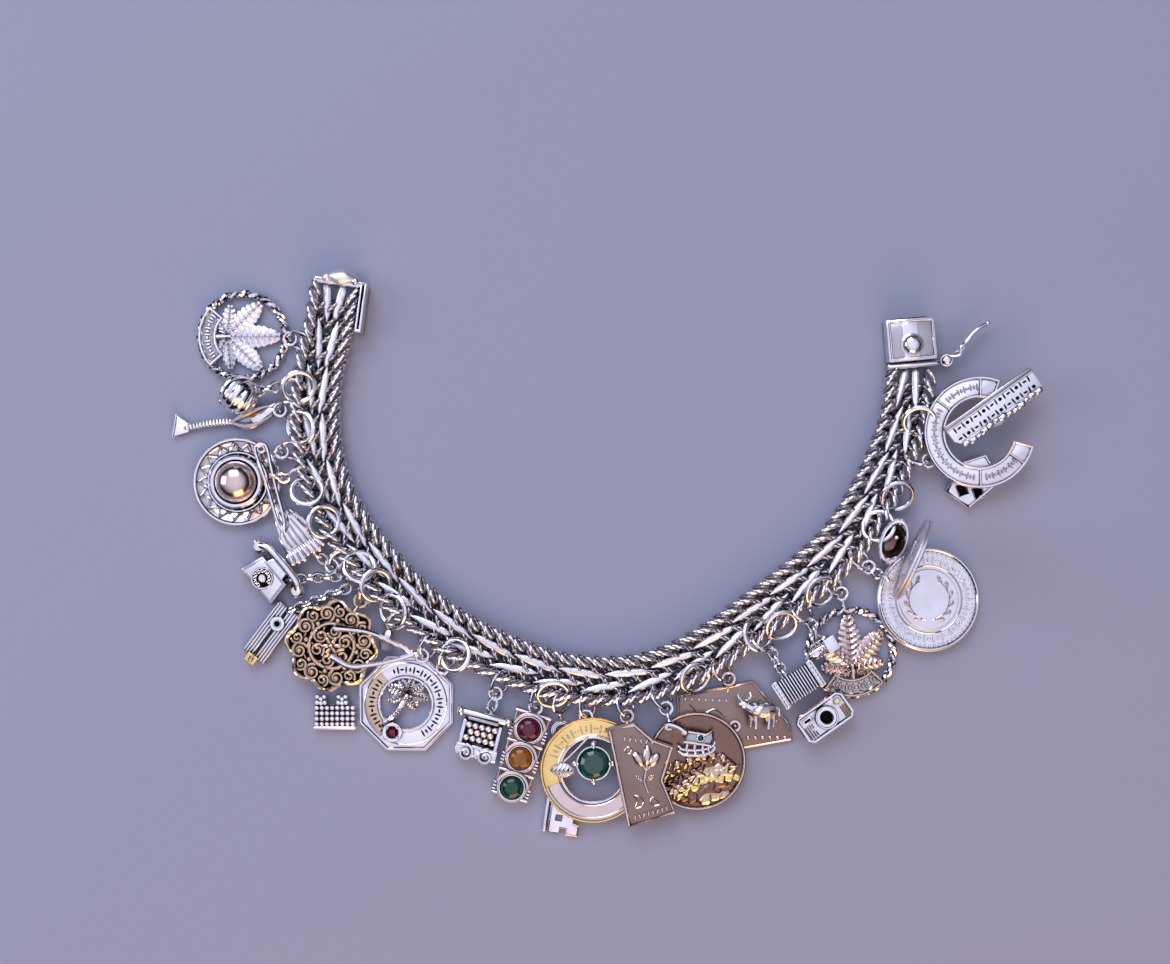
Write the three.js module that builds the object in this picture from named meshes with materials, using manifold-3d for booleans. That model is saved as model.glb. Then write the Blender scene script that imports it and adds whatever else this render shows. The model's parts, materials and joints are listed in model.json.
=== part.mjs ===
// A silver charm bracelet lying open on a table: a four-strand chain between the two
// halves of a box clasp, with thirty-two charms on jump rings along its outer edge.
// Millimetres, +Z up, the table at z = 0, the origin under the middle of the outline.

import * as THREE from 'three';
import { mergeVertices } from 'three/addons/utils/BufferGeometryUtils.js';
import Module from 'manifold-3d';

const wasm = await Module();
wasm.setup();

// ---------------------------------------------------------------- driving sizes
const CHAIN_Z = 2.1; // height of the chain's middle, held up by the jump rings
const ROPE_RADIUS = 0.8; // each rope strand
const ROPE_OFFSET = 3.4; // rope strand from the chain's middle line
const ROPE_SIDES = 8;
const ROPE_STEPS = 40;
const BAR_OFFSET = 0.92; // row of flat links from the chain's middle line
const BAR_LENGTH = 8.0;
const BAR_WIDTH = 1.2;
const BAR_THICK = 0.8;
const BAR_PITCH = 6.6;
const RING_RADIUS = 2.15; // jump ring, to the middle of its wire
const RING_WIRE = 0.28; // radius of the jump ring's wire
const RING_TILT = 50; // degrees that a jump ring stands up from lying flat
const RING_REACH = 3.0; // from the strand's middle to the middle of the bail
const BAIL_RADIUS = 1.1; // bail soldered to a charm, to the middle of its wire
const BAIL_WIRE = 0.28;
const NECK_RADIUS = 0.4;
const RING_STEPS = 12;
const STRAND_SAMPLES = 400;
const PLATE = 1.1; // usual thickness of a flat charm
const LEAF_DISC_RADIUS = 8.0;
const HAT_RADIUS = 7.6;
const BIRTHSTONE_OUTER = 9.2;
const BIRTHSTONE_INNER = 5.4;
const MEDALLION_RADIUS = 8.6;
const MEDAL_RADIUS = 9.1;
const COIN_RADIUS = 7.3;
const HORSESHOE_OUTER = 9.7;
const HORSESHOE_INNER = 6.0;
const OCTAGON_FLATS = 16.5;
const BOX_WIDTH = 8.5;
const BOX_DEPTH = 7.4;
const BOX_HEIGHT = 4.2;
const PIN_RADIUS = 0.4; // hinge pin of the safety catch
const CATCH_LENGTH = 9.6;

// Middle line of the chain, from the clasp's tongue round to its box.
const CHAIN_ROUTE = [
  [-47.5, 45.6], [-48.6, 38.7], [-50.2, 31.7], [-50.9, 24.7], [-50.5, 18.2],
  [-48.8, 11.4], [-45.6, 4.9], [-41.2, -1.0], [-36.2, -6.6], [-30.3, -11.8],
  [-23.6, -16.0], [-16.0, -19.4], [-8.4, -21.8], [-1.0, -22.6], [6.0, -22.1],
  [12.8, -19.8], [19.2, -16.2], [26.6, -10.8], [33.6, -5.4], [40.6, 1.0],
  [46.2, 9.4], [50.0, 17.4], [52.2, 24.4], [53.0, 30.7],
];

// ---------------------------------------------------------------- metals and stones
function metal(name, colour, roughness, metalness = 1) {
  return new THREE.MeshStandardMaterial({ name, color: colour, roughness, metalness });
}
const SILVER = () => metal('polished_silver', 0xc9cad0, 0.18);
const OXIDISED = () => metal('oxidised_silver', 0x8e8c90, 0.35);
const FROSTED = () => metal('frosted_silver', 0xdfe0e8, 0.5);
const ROSE = () => metal('aged_silver', 0xa98f80, 0.42);
const GEM = (colour) => metal('cut_stone', colour, 0.05, 0);

// ---------------------------------------------------------------- joining and cutting
function toManifold(geometry) {
  const bare = new THREE.BufferGeometry();
  bare.setAttribute('position', geometry.getAttribute('position'));
  bare.setIndex(geometry.index);
  const merged = mergeVertices(bare, 1e-4);
  const corners = [];
  for (let i = 0; i < merged.index.count; i += 3) {
    const triangle = [0, 1, 2].map((k) => merged.index.getX(i + k));
    if (new Set(triangle).size === 3) corners.push(...triangle);
  }
  return new wasm.Manifold(new wasm.Mesh({
    numProp: 3,
    vertProperties: new Float32Array(merged.getAttribute('position').array),
    triVerts: new Uint32Array(corners),
  }));
}

function fromManifold(body) {
  const mesh = body.getMesh();
  const geometry = new THREE.BufferGeometry();
  const corners = new Float32Array(mesh.vertProperties);
  geometry.setAttribute('position', new THREE.BufferAttribute(corners, 3));
  geometry.setIndex(new THREE.BufferAttribute(new Uint32Array(mesh.triVerts), 1));
  geometry.computeVertexNormals();
  return geometry;
}

function join(...pieces) {
  let whole = toManifold(pieces[0]);
  for (const piece of pieces.slice(1)) whole = whole.add(toManifold(piece));
  return fromManifold(whole);
}

function cut(base, ...tools) {
  let rest = toManifold(base);
  for (const tool of tools) rest = rest.subtract(toManifold(tool));
  return fromManifold(rest);
}

// ---------------------------------------------------------------- simple forms
const turn = (degrees) => THREE.MathUtils.degToRad(degrees);

function outline(points) {
  return new THREE.Shape(points.map(([x, y]) => new THREE.Vector2(x, y)));
}

function slab(shape, thick, low = 0, segments = 8) {
  const geometry = new THREE.ExtrudeGeometry(shape, {
    depth: thick, bevelEnabled: false, curveSegments: segments,
  });
  return geometry.translate(0, 0, low);
}

function pillow(shape, thick, round) {
  const geometry = new THREE.ExtrudeGeometry(shape, {
    depth: thick - 2 * round, bevelEnabled: true, bevelThickness: round,
    bevelSize: round, bevelOffset: -round, bevelSegments: 1, curveSegments: 6,
  });
  return geometry.translate(0, 0, round);
}

function band(outer, inner, from, to, thick, low = 0, segments = 12) {
  const shape = new THREE.Shape();
  shape.absarc(0, 0, outer, turn(from), turn(to), false);
  shape.absarc(0, 0, inner, turn(to), turn(from), true);
  shape.closePath();
  return slab(shape, thick, low, segments);
}

function annulus(outer, inner, thick, low = 0, segments = 14) {
  const shape = new THREE.Shape().absarc(0, 0, outer, 0, 2 * Math.PI, false);
  shape.holes.push(new THREE.Path().absarc(0, 0, inner, 0, 2 * Math.PI, true));
  return slab(shape, thick, low, segments);
}

function hoop(radius, wire, steps = 12, sides = 6) {
  return new THREE.TorusGeometry(radius, wire, sides, steps);
}

function drum(radius, height, low = 0, segments = 16) {
  const geometry = new THREE.CylinderGeometry(radius, radius, height, segments);
  return geometry.rotateX(Math.PI / 2).translate(0, 0, low + height / 2);
}

function block(width, depth, height, low = 0) {
  return new THREE.BoxGeometry(width, depth, height).translate(0, 0, low + height / 2);
}

function ball(radius, across = 10, up = 6) {
  return new THREE.SphereGeometry(radius, across, up).rotateX(Math.PI / 2);
}

function lathe(profile, segments = 20) {
  const points = profile.map(([r, z]) => new THREE.Vector2(r, z));
  return new THREE.LatheGeometry(points, segments).rotateX(Math.PI / 2);
}

function rod(points, radius, steps = 8, sides = 6) {
  const path = new THREE.CatmullRomCurve3(points.map((p) => new THREE.Vector3(...p)));
  const section = outline([...Array(sides).keys()].map((i) => {
    const angle = (2 * Math.PI * i) / sides;
    return [radius * Math.cos(angle), radius * Math.sin(angle)];
  }));
  return new THREE.ExtrudeGeometry(section, { steps, bevelEnabled: false, extrudePath: path });
}

// ---------------------------------------------------------------- placing
const bracelet = new THREE.Group();

function place(name, geometry, material, [x, y, z], turned = 0, tip = [0, 0]) {
  const mesh = new THREE.Mesh(geometry, material);
  mesh.name = name;
  mesh.position.set(x, y, z);
  mesh.rotation.set(turn(tip[0]), turn(tip[1]), turn(turned), 'ZYX');
  bracelet.add(mesh);
  return mesh;
}

// ---------------------------------------------------------------- chain
const middleLine = new THREE.CatmullRomCurve3(
  CHAIN_ROUTE.map(([x, y]) => new THREE.Vector3(x, y, CHAIN_Z)), false, 'centripetal',
);
middleLine.arcLengthDivisions = 400;
const chainLength = middleLine.getLength();

// A point beside the middle line; positive offsets lie inside the curve.
function beside(along, offset) {
  const point = middleLine.getPointAt(along);
  const forward = middleLine.getTangentAt(along);
  return new THREE.Vector3(point.x - forward.y * offset, point.y + forward.x * offset, point.z);
}

function strand(offset) {
  const points = [...Array(ROPE_STEPS + 1).keys()].map((i) => {
    const p = beside(i / ROPE_STEPS, offset);
    return [p.x, p.y, p.z];
  });
  return rod(points, ROPE_RADIUS, ROPE_STEPS, ROPE_SIDES);
}

// One flat pointed link; the next one's point runs into it.
function barLink() {
  const half = BAR_LENGTH / 2;
  const shoulder = BAR_LENGTH * 0.28;
  const side = BAR_WIDTH / 2;
  const shape = outline([
    [-half, 0], [-shoulder, -side], [shoulder, -side], [half, 0], [shoulder, side], [-shoulder, side],
  ]);
  return slab(shape, BAR_THICK, -BAR_THICK / 2);
}

function barRow(offset, slant) {
  const count = Math.floor((chainLength - 1.5) / BAR_PITCH);
  const links = [...Array(count).keys()].map((i) => {
    const along = (i + 0.5 + (chainLength / BAR_PITCH - count) / 2) * (BAR_PITCH / chainLength);
    const spot = beside(along, offset);
    const forward = middleLine.getTangentAt(along);
    const heading = Math.atan2(forward.y, forward.x) + turn(slant);
    return barLink().rotateZ(heading).translate(spot.x, spot.y, spot.z);
  });
  return join(...links);
}

place('rope_strand_outer', strand(-ROPE_OFFSET), OXIDISED(), [0, 0, 0]);
place('rope_strand_inner', strand(ROPE_OFFSET), OXIDISED(), [0, 0, 0]);
place('bar_links_outer', barRow(-BAR_OFFSET, 1.5), SILVER(), [0, 0, 0]);
place('bar_links_inner', barRow(BAR_OFFSET, -1.5), SILVER(), [0, 0, 0]);

// ---------------------------------------------------------------- clasp
// Box half: open slot at its far end, round push button, end bar for the strands, and at
// the bar's end an eye whose headed pin carries the safety catch.
const CATCH_EYE = [5.97, -4.04];
const BAR_LOW = 0.9;
function claspBox() {
  const slot = block(6.6, 6.4, 2.2, 1.0).translate(0, 0.6, 0);
  const shell = cut(block(BOX_WIDTH, BOX_DEPTH, BOX_HEIGHT), slot);
  const button = ball(1.8, 10, 6).scale(1, 1, 0.6).translate(0, -0.9, BOX_HEIGHT);
  const endBar = block(9.0, 1.0, 2.4, BAR_LOW).translate(0, -4.4, 0);
  const bridge = block(6.0, 1.0, 0.6, BAR_LOW).translate(0, -3.8, 0);
  const [x, y] = CATCH_EYE;
  const lug = block(2.2, 0.8, 0.6, BAR_LOW).translate(5.0, -4.2, 0);
  const eye = drum(0.9, 0.6, BAR_LOW, 10).translate(x, y, 0);
  const pin = drum(PIN_RADIUS, 2.2, 1.2, 10).translate(x, y, 0);
  const head = drum(0.85, 0.4, 3.3, 10).translate(x, y, 0);
  return join(shell, button, endBar, bridge, lug, eye, pin, head);
}

// Wire loop bent in a shallow S, swinging on the pin of the box's eye.
function safetyCatch() {
  const collar = annulus(1.2, PIN_RADIUS + 0.32, 1.0, -0.5, 5);
  const end = CATCH_LENGTH;
  const wires = [-1, 1].map((side) => {
    return rod([[0.95, 0, 0.2 * side], [2.3, -0.5, 0.85 * side], [4.2, -0.1, 0.9 * side],
      [6.2, 0.4, 0.75 * side], [8.2, 0.3, 0.5 * side], [end, 0, 0]], 0.3, 7, 5);
  });
  return join(collar, ...wires, ball(0.45, 6, 4).translate(end, 0, 0));
}

// Tongue half: end bar, rounded thumb tab, and the folded spring plate standing on edge.
function claspTongue() {
  const endBar = block(9.4, 1.1, 3.2, 0.5);
  const tab = ball(1.8, 10, 6).scale(1, 0.85, 1).translate(0, 1.0, 2.6);
  const plate = block(1.1, 8.4, 5.2, 0.1).translate(4.3, -4.2, 0);
  const fold = block(0.4, 7.4, 6, -0.1).translate(4.3, -4.6, 0);
  return join(endBar, tab, cut(plate, fold));
}

const BOX_PLACE = { at: [52.9, 36.8, 0.1], turned: 5 };
const TONGUE_PLACE = { at: [-46.35, 46.8, 0.0], turned: -7.4 };
const CATCH_REST = 42; // direction of the open catch, measured from +X
const CATCH_HEIGHT = 2.4;
const boxMesh = place('clasp_box', claspBox(), SILVER(), BOX_PLACE.at, BOX_PLACE.turned);
boxMesh.updateMatrixWorld();
const pinPoint = boxMesh.localToWorld(new THREE.Vector3(...CATCH_EYE, 0));
place('safety_catch', safetyCatch(), SILVER(), [pinPoint.x, pinPoint.y, CATCH_HEIGHT], CATCH_REST);
place('clasp_tongue', claspTongue(), SILVER(), TONGUE_PLACE.at, TONGUE_PLACE.turned);

// ---------------------------------------------------------------- jump rings
// A ring holds the outer strand at one side and a bail at the other. It is worked out from
// a point near the bail, which is moved to the ring's reach from the nearest strand point.
function ringFrame(hang) {
  const through = new THREE.Vector3(...hang);
  let best = null;
  let forward = null;
  for (let i = 0; i <= STRAND_SAMPLES; i += 1) {
    const point = beside(i / STRAND_SAMPLES, -ROPE_OFFSET);
    if (!best || point.distanceTo(through) < best.distanceTo(through)) {
      best = point;
      forward = middleLine.getTangentAt(i / STRAND_SAMPLES);
    }
  }
  const out = through.clone().sub(best).normalize();
  through.copy(best).addScaledVector(out, RING_REACH);
  const rise = new THREE.Vector3(0, 0, Math.sin(turn(RING_TILT)));
  rise.addScaledVector(forward, -Math.cos(turn(RING_TILT)));
  rise.addScaledVector(out, -rise.dot(out)).normalize();
  const axis = new THREE.Vector3().crossVectors(out, rise);
  const centre = through.clone().addScaledVector(out, -RING_RADIUS);
  return { bail: through, matrix: new THREE.Matrix4().makeBasis(out, rise, axis).setPosition(centre) };
}

function jumpRing(name, matrix) {
  const mesh = new THREE.Mesh(hoop(RING_RADIUS, RING_WIRE, RING_STEPS, 5), SILVER());
  mesh.name = name;
  matrix.decompose(mesh.position, mesh.quaternion, mesh.scale);
  bracelet.add(mesh);
}

// ---------------------------------------------------------------- charms on their rings
// A charm is its body with a bail soldered on by a short neck. Its jump ring is a piece of
// its own, or where solderedRing is set, fast to the neck in place of the bail.
function charm(name, body, material, at, options = {}) {
  const { turned = 0, tip = [0, 0], hang = null, neck = null, solderedRing = false } = options;
  const mesh = place(name, body, material, at, turned, tip);
  if (!hang) return mesh;
  const { bail, matrix } = ringFrame(hang);
  const parts = [];
  const reach = new THREE.Vector3(...neck).sub(bail).normalize();
  if (solderedRing) {
    parts.push(hoop(RING_RADIUS, RING_WIRE, RING_STEPS, 4).applyMatrix4(matrix));
  } else {
    jumpRing(`jump_ring_${name}`, matrix);
    parts.push(hoop(BAIL_RADIUS, BAIL_WIRE, 9, 4).translate(...bail.toArray()));
  }
  const start = bail.clone().addScaledVector(reach, solderedRing ? 0 : BAIL_RADIUS);
  parts.push(rod([start.toArray(), neck], NECK_RADIUS, 1, 4));
  mesh.updateMatrixWorld();
  const toLocal = mesh.matrixWorld.clone().invert();
  mesh.geometry = join(body, ...parts.map((part) => part.applyMatrix4(toLocal)));
  return mesh;
}

// Open-work disc: rope border, a five-lobed leaf pointing along +X, a blank banner.
const LEAF_HALF = [
  [-3.4, 0.3], [-3.9, 2.0], [-2.2, 4.4], [-1.3, 2.7], [0.6, 5.0],
  [3.1, 5.6], [3.3, 3.9], [1.6, 1.5], [4.6, 1.4], [6.9, 0.15],
];
function leafDisc() {
  const wire = 0.6;
  const border = hoop(LEAF_DISC_RADIUS - wire, wire, 18, 4).translate(0, 0, wire);
  const mirrored = LEAF_HALF.map(([x, y]) => [x, -y]).reverse();
  const leaf = slab(outline([...LEAF_HALF, ...mirrored].reverse()), 0.7, 0.3);
  const banner = band(LEAF_DISC_RADIUS - 0.3, 4.7, 142, 218, 0.9, 0.1, 3);
  const stalk = block(2.4, 0.6, 0.7, 0.3).translate(-4.2, 0, 0);
  return join(border, leaf, banner, stalk);
}

// Small ball with melon ribs.
function ribbedBall() {
  return ball(3.4, 10, 6);
}

// Twisted stem between a small paddle and a pointed blade.
function twistedStem() {
  const stem = rod([[-8.4, 0, 0.7], [-4, 0.3, 0.9], [0.2, 0.2, 0.8]], 0.55, 6);
  const paddle = slab(outline([[-11.2, -1.3], [-8.2, -0.7], [-8.2, 0.7], [-10.2, 2.4]]), 0.7, 0.3);
  const blade = slab(outline([
    [-0.6, -0.6], [3.6, -1.2], [8.0, 1.6], [7.4, 2.6], [2.4, 1.1], [-0.6, 0.6],
  ]), 1.0, 0.2);
  return join(stem, paddle, blade);
}

// Wide-brimmed hat: upturned brim, banded crown with a domed top.
function sombrero() {
  return lathe([
    [0, 0], [5.2, 0], [7.0, 0.6], [HAT_RADIUS, 1.5], [7.2, 1.8], [6.4, 1.2],
    [4.8, 0.8], [4.3, 1.1], [4.1, 2.8], [3.5, 4.3], [2.2, 5.2], [0, 5.5],
  ], 14);
}

// Long needle-like loop with a wide eye.
function longLoop() {
  const shape = new THREE.Shape();
  shape.absarc(0, 6.95, 1.3, 0, Math.PI, false);
  shape.lineTo(-0.7, -7.55);
  shape.absarc(0, -7.55, 0.7, Math.PI, 2 * Math.PI, false);
  shape.closePath();
  const eye = new THREE.Path();
  eye.absarc(0, 6.9, 0.65, Math.PI, 0, true);
  eye.lineTo(0.2, -6.95);
  eye.lineTo(-0.2, -6.95);
  eye.closePath();
  shape.holes.push(eye);
  return slab(shape, 0.8, 0, 4);
}

// Two hands pressed together, fingertips along +Y, above wide cuffs.
function foldedHands() {
  const palms = pillow(outline([
    [-2.8, -3.0], [2.8, -3.0], [2.6, 1.4], [0.8, 5.4], [-0.6, 5.4], [-2.6, 1.4],
  ]), 3.4, 0.7);
  const cuffs = pillow(outline([
    [-3.7, -5.0], [3.7, -5.0], [3.6, -2.9], [2.2, -2.3], [-2.4, -2.3], [-3.7, -3.1],
  ]), 3.0, 0.5);
  return join(palms, cuffs);
}

// Dial telephone lying on its back: body, dial, cradle and curved handset.
function telephone() {
  const body = slab(outline([[-4.2, -2.3], [4.2, -2.3], [3.2, 2.2], [-3.2, 2.2]]), 3.2);
  const dial = drum(1.9, 0.5, 3.0, 12).translate(-0.3, -0.3, 0);
  const cradle = block(4.4, 1.6, 2.0, 1.0).translate(0, 2.7, 0);
  const handset = rod([[-5.2, 2.9, 1.6], [-3.2, 3.7, 2.2], [3.2, 3.7, 2.2], [5.2, 2.9, 1.6]], 0.65, 6, 6);
  const cups = [-5.1, 5.1].map((x) => drum(1.1, 1.9, 0.6, 8).translate(x, 2.7, 0));
  return join(body, dial, cradle, handset, ...cups);
}

// Two grooved handle bars on a pivot with a small buckle at the end.
function grooveBars() {
  const bars = [-1.25, 1.25].map((x) => block(2.1, 10.6, 1.7).translate(x, 0, 0));
  const pivot = drum(1.3, 2.0, 0, 10).translate(0, 2.0, 0);
  const rail = block(0.9, 10.0, 1.3).translate(0, 0, 0);
  const buckle = annulus(1.3, 0.5, 1.9, 0, 3).translate(0, -5.4, 0);
  return join(...bars, rail, pivot, buckle);
}

// Round filigree: eight loops round an inner ring, scroll spokes and a raised centre.
function rosette() {
  const wire = 0.5;
  const inner = hoop(4.3, wire, 12, 4);
  const loops = [...Array(8).keys()].map((i) => {
    return hoop(1.75, wire, 6, 4).translate(6.05, 0, 0).rotateZ(turn(45 * i + 8));
  });
  const spokes = [15, 105].map((angle) => block(8.6, 0.6, 0.6, -0.3).rotateZ(turn(angle)));
  const centre = drum(1.5, 1.2, -0.5, 8);
  return join(inner, ...loops, ...spokes, centre).translate(0, 0, wire);
}

// Forked bone with a knob at its joint; arms reach towards -X.
function wishbone() {
  const upper = rod([[0, 0, 0], [-3.4, 2.0, 0.5], [-8.0, 4.0, 1.4], [-13.4, 4.7, 2.0]], 0.42, 6, 5);
  const lower = rod([[0, 0, 0], [-3.2, -1.0, 0.5], [-7.0, -1.7, 1.4], [-11.0, -1.9, 1.9],
    [-13.9, -0.3, 2.2]], 0.42, 7, 5);
  return join(upper, lower, ball(0.75, 8, 5));
}

// Faceted drop in a small cap.
function crystalDrop() {
  const drop = lathe([[0, 0], [1.0, 0.5], [1.4, 1.6], [0.6, 3.2], [0.6, 4.0], [0, 4.2]], 6);
  return drop.rotateX(turn(-90)).translate(0, -2.1, 1.4);
}

// Little keep with two turrets and rows of beads on its wall.
function beadedKeep() {
  const wall = block(6.9, 3.9, 1.6).translate(0, -0.9, 0);
  const foot = block(7.5, 0.8, 1.8).translate(0, -2.7, 0);
  const turrets = [-2.4, 1.3].map((x) => block(2.0, 2.4, 1.8).translate(x, 1.6, 0));
  return join(wall, foot, ...turrets);
}

// Eight-sided frame round a palm tree, with a small stone's seat on its lower edge.
const PALM_STONE = [-2.3, -4.9];
const PALM_STONE_RADIUS = 0.95;
function octagonPalm() {
  const corner = OCTAGON_FLATS / 2 / Math.cos(Math.PI / 8);
  const eight = [...Array(8).keys()].map((i) => {
    const angle = Math.PI / 8 + (i * Math.PI) / 4;
    return [corner * Math.cos(angle), corner * Math.sin(angle)];
  });
  const shape = outline(eight);
  shape.holes.push(new THREE.Path().absarc(0, 0, 4.4, 0, 2 * Math.PI, true));
  const frame = slab(shape, PLATE, 0, 6);
  const trunk = rod([[-3.6, -3.6, 0.6], [-1.4, -1.2, 0.8], [0.2, 1.4, 0.9]], 0.45, 4);
  const fronds = [...Array(12).keys()].map((i) => {
    const reach = i % 2 ? 1.0 : 2.6;
    const angle = (i * Math.PI) / 6;
    return [reach * Math.cos(angle), reach * Math.sin(angle)];
  });
  const crown = slab(outline(fronds), 0.7, 0.5).translate(0.4, 1.8, 0);
  const bezel = annulus(1.8, PALM_STONE_RADIUS + 0.3, 2.0, 0, 5).translate(...PALM_STONE, 0);
  const seat = drum(1.8, 0.5, 0, 10).translate(...PALM_STONE, 0);
  return join(frame, trunk, crown, bezel, seat);
}

// Typewriter on its back: platen with knobs, rows of round keys, front bar, scroll feet.
function typewriter() {
  const body = block(6.8, 6.8, 2.4);
  const platen = rod([[-3.9, 0, 0], [3.9, 0, 0]], 0.75, 1, 8).translate(0, 3.9, 2.6);
  const knobs = [-3.7, 3.7].map((x) => {
    return drum(1.1, 0.8, -0.4, 8).rotateY(Math.PI / 2).translate(x, 3.9, 2.6);
  });
  const rows = [1.3, -0.3].map((y) => block(5.8, 1.1, 0.9, 2.3).translate(0, y, 0));
  const bar = block(7.4, 1.5, 1.3, 1.8).translate(0, -2.1, 0);
  const feet = [-2.4, 2.4].map((x) => hoop(0.85, 0.4, 7, 4).translate(x, -4.0, 1.2));
  return join(body, platen, ...knobs, ...rows, bar, ...feet);
}

// Signal light: three lamps one above the other, each under a curved hood.
const LAMP_Y = [4.75, -0.5, -5.8];
const LAMP_RADIUS = 2.0;
function signalLight() {
  const body = block(6.2, 15.0, 2.4);
  const hoods = LAMP_Y.map((y) => band(3.1, 2.45, 15, 165, 1.9, 2.2, 3).translate(0, y, 0));
  const seats = LAMP_Y.map((y) => annulus(2.75, LAMP_RADIUS + 0.3, 0.7, 2.2, 5).translate(0, y, 0));
  return join(body, ...hoods, ...seats);
}

function roundStone(radius, height) {
  return lathe([
    [0, 0], [radius, 0], [radius, height * 0.3], [radius * 0.6, height * 0.9], [0, height],
  ], 10);
}

// Flat key: round bow, double-edged shank, bit with plain wards.
function flatKey() {
  const bow = annulus(1.9, 1.0, PLATE, 0, 5);
  const shank = [-0.42, 0.42].map((x) => block(0.6, 16.6, 0.9).translate(x, -9.6, 0));
  const bit = block(5.2, 4.8, 0.9).translate(2.9, -15.4, 0);
  const wards = [2.2, 4.2].map((x) => block(0.7, 2.2, 2, -0.5).translate(x, -17.5, 0));
  const window = block(1.6, 1.4, 2, -0.5).translate(2.6, -14.3, 0);
  return cut(join(bow, ...shank, bit), ...wards, window);
}

// Broad ring with a stone held inside it on a thin bar, and a leaf sprig.
const SOLITAIRE = [0.1, 1.3];
const SOLITAIRE_RADIUS = 2.8;
function birthstoneRing() {
  const ring = annulus(BIRTHSTONE_OUTER, BIRTHSTONE_INNER, 1.2, 0, 10);
  const [x, y] = SOLITAIRE;
  const cup = annulus(SOLITAIRE_RADIUS + 0.75, SOLITAIRE_RADIUS + 0.35, 1.6, 0, 5).translate(x, y, 0);
  const prongs = [20, 110, 200, 290].map((angle) => {
    const bead = ball(0.5, 6, 4).translate(SOLITAIRE_RADIUS + 0.75, 0, 1.2);
    return bead.rotateZ(turn(angle)).translate(x, y, 0);
  });
  const bar = rod([[-6.6, 0.6, 0.8], [-3.6, 1.9, 1.0], [-2.6, 3.9, 1.0]], 0.35, 2, 5);
  const sprig = slab(outline([[-7.6, 0.2], [-6.2, -1.0], [-3.1, 0.3], [-5.8, 1.6]]), 0.7, 1.0);
  return join(ring, cup, ...prongs, bar, sprig);
}

function solitaireStone() {
  const r = SOLITAIRE_RADIUS;
  return lathe([[0, 0], [r * 0.75, 0.9], [r, 1.6], [r * 0.72, 2.4], [0, 2.5]], 10);
}

// Flat plate cut to an irregular outline with a raised edge and a blossom in relief.
const PLATE_A = [
  [-6.2, 8.6], [-6.2 + 3.7, -8.8], [5.9, -6.3], [3.5, -0.5], [5.4, 5.5], [1.8, 6.7], [-1.6, 9.6],
];
function blossomPlate() {
  const base = slab(outline(PLATE_A), 0.8);
  const shape = outline(PLATE_A);
  const inset = PLATE_A.map(([x, y]) => [x * 0.9, y * 0.93]);
  shape.holes.push(outline(inset));
  const rim = slab(shape, 1.1);
  const petals = [-35, 0, 35].map((angle) => {
    const petal = outline([[0, -0.6], [0.9, 1.5], [0, 3.2], [-0.9, 1.5]]);
    return slab(petal, 0.4, 0.7).rotateZ(turn(angle)).translate(0.6, 1.6, 0);
  });
  return join(base, rim, ...petals);
}

// Round medallion with a soft generic landscape relief in its lower half.
function medallion() {
  const base = lathe([
    [0, 0], [MEDALLION_RADIUS, 0], [MEDALLION_RADIUS, 1.3], [8.1, 1.3], [7.9, 1.0], [0, 1.0],
  ], 22);
  const hills = [[3.2, -2.2, 2.6], [1.8, -4.6, 2.0], [5.0, -0.2, 1.8]].map(([x, y, r]) => {
    return ball(r, 8, 4).scale(1, 0.8, 0.45).translate(x, y, 1.0);
  });
  return join(base, ...hills);
}

// Small sleigh: curled body between two runners.
function sleigh() {
  const body = slab(outline([[-1.6, -0.4], [3.4, -1.2], [3.9, 1.8], [2.6, 0.9], [-0.8, 1.5]]), 1.6, 0.4);
  const nose = rod([[-0.9, 0.9, 0.9], [-2.6, 2.1, 0.9], [-4.4, 2.4, 0.9]], 0.6, 4);
  const runners = [-1.9, -2.8].map((y) => rod([[-1.6, y, 0.5], [2.0, y, 0.5], [3.9, y + 1.0, 0.5]], 0.32, 4));
  const struts = [-0.6, 2.0].map((x) => block(0.5, 2.8, 0.5, 0.3).translate(x, -1.6, 0));
  return join(body, nose, ...runners, ...struts);
}

// Thin plate cut to an irregular outline, with a small ring boss and dots.
const PLATE_B = [
  [-9.9, 3.8], [-9.8, -3.6], [1.5, -5.7], [10.5, -4.1], [10.1, -1.3], [3.5, 6.5], [0.1, 5.8],
];
function dottedPlate() {
  const base = slab(outline(PLATE_B), 0.9);
  const boss = annulus(1.1, 0.55, 0.3, 0.8, 4).translate(0.3, -1.5, 0);
  const dots = [3.2, 5.2, 7.2, 9.0].map((x) => drum(0.35, 0.3, 0.8, 5).translate(x, -3.4, 0));
  return join(base, boss, ...dots);
}

// Small horned animal standing on four legs.
function hornedAnimal() {
  const trunk = ball(1.5, 8, 6).scale(1.9, 1, 0.85).translate(0, 0, 1.3);
  const head = ball(0.95, 8, 5).scale(1.3, 1, 1).translate(-3.0, 1.0, 1.4);
  const legs = [[-1.9, -0.9], [-1.0, -1.2], [1.2, -1.2], [2.1, -0.9]].map(([x, y]) => {
    return rod([[x, y, 1.2], [x + 0.1, y - 1.9, 1.0]], 0.38, 1, 5);
  });
  const horns = [-0.4, 0.5].map((x) => rod([[-3.1 + x, 1.6, 1.5], [-3.1 + 2.6 * x, 3.0, 1.7]], 0.28, 1, 5));
  const neck = rod([[-1.8, 0.4, 1.4], [-2.8, 0.9, 1.4]], 0.7, 1);
  return join(trunk, head, ...legs, ...horns, neck);
}

// Squeezebox: ribbed bellows between two end boards.
function squeezebox() {
  const core = block(7.0, 3.6, 2.4, 0.3);
  const ribs = [-2.2, -1.1, 0, 1.1, 2.2].map((x) => block(0.6, 4.6, 3.0).translate(x, 0, 0));
  const boards = [-3.5, 3.5].map((x) => block(1.2, 5.2, 3.2).translate(x, 0, 0));
  return join(core, ...ribs, ...boards);
}

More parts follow.
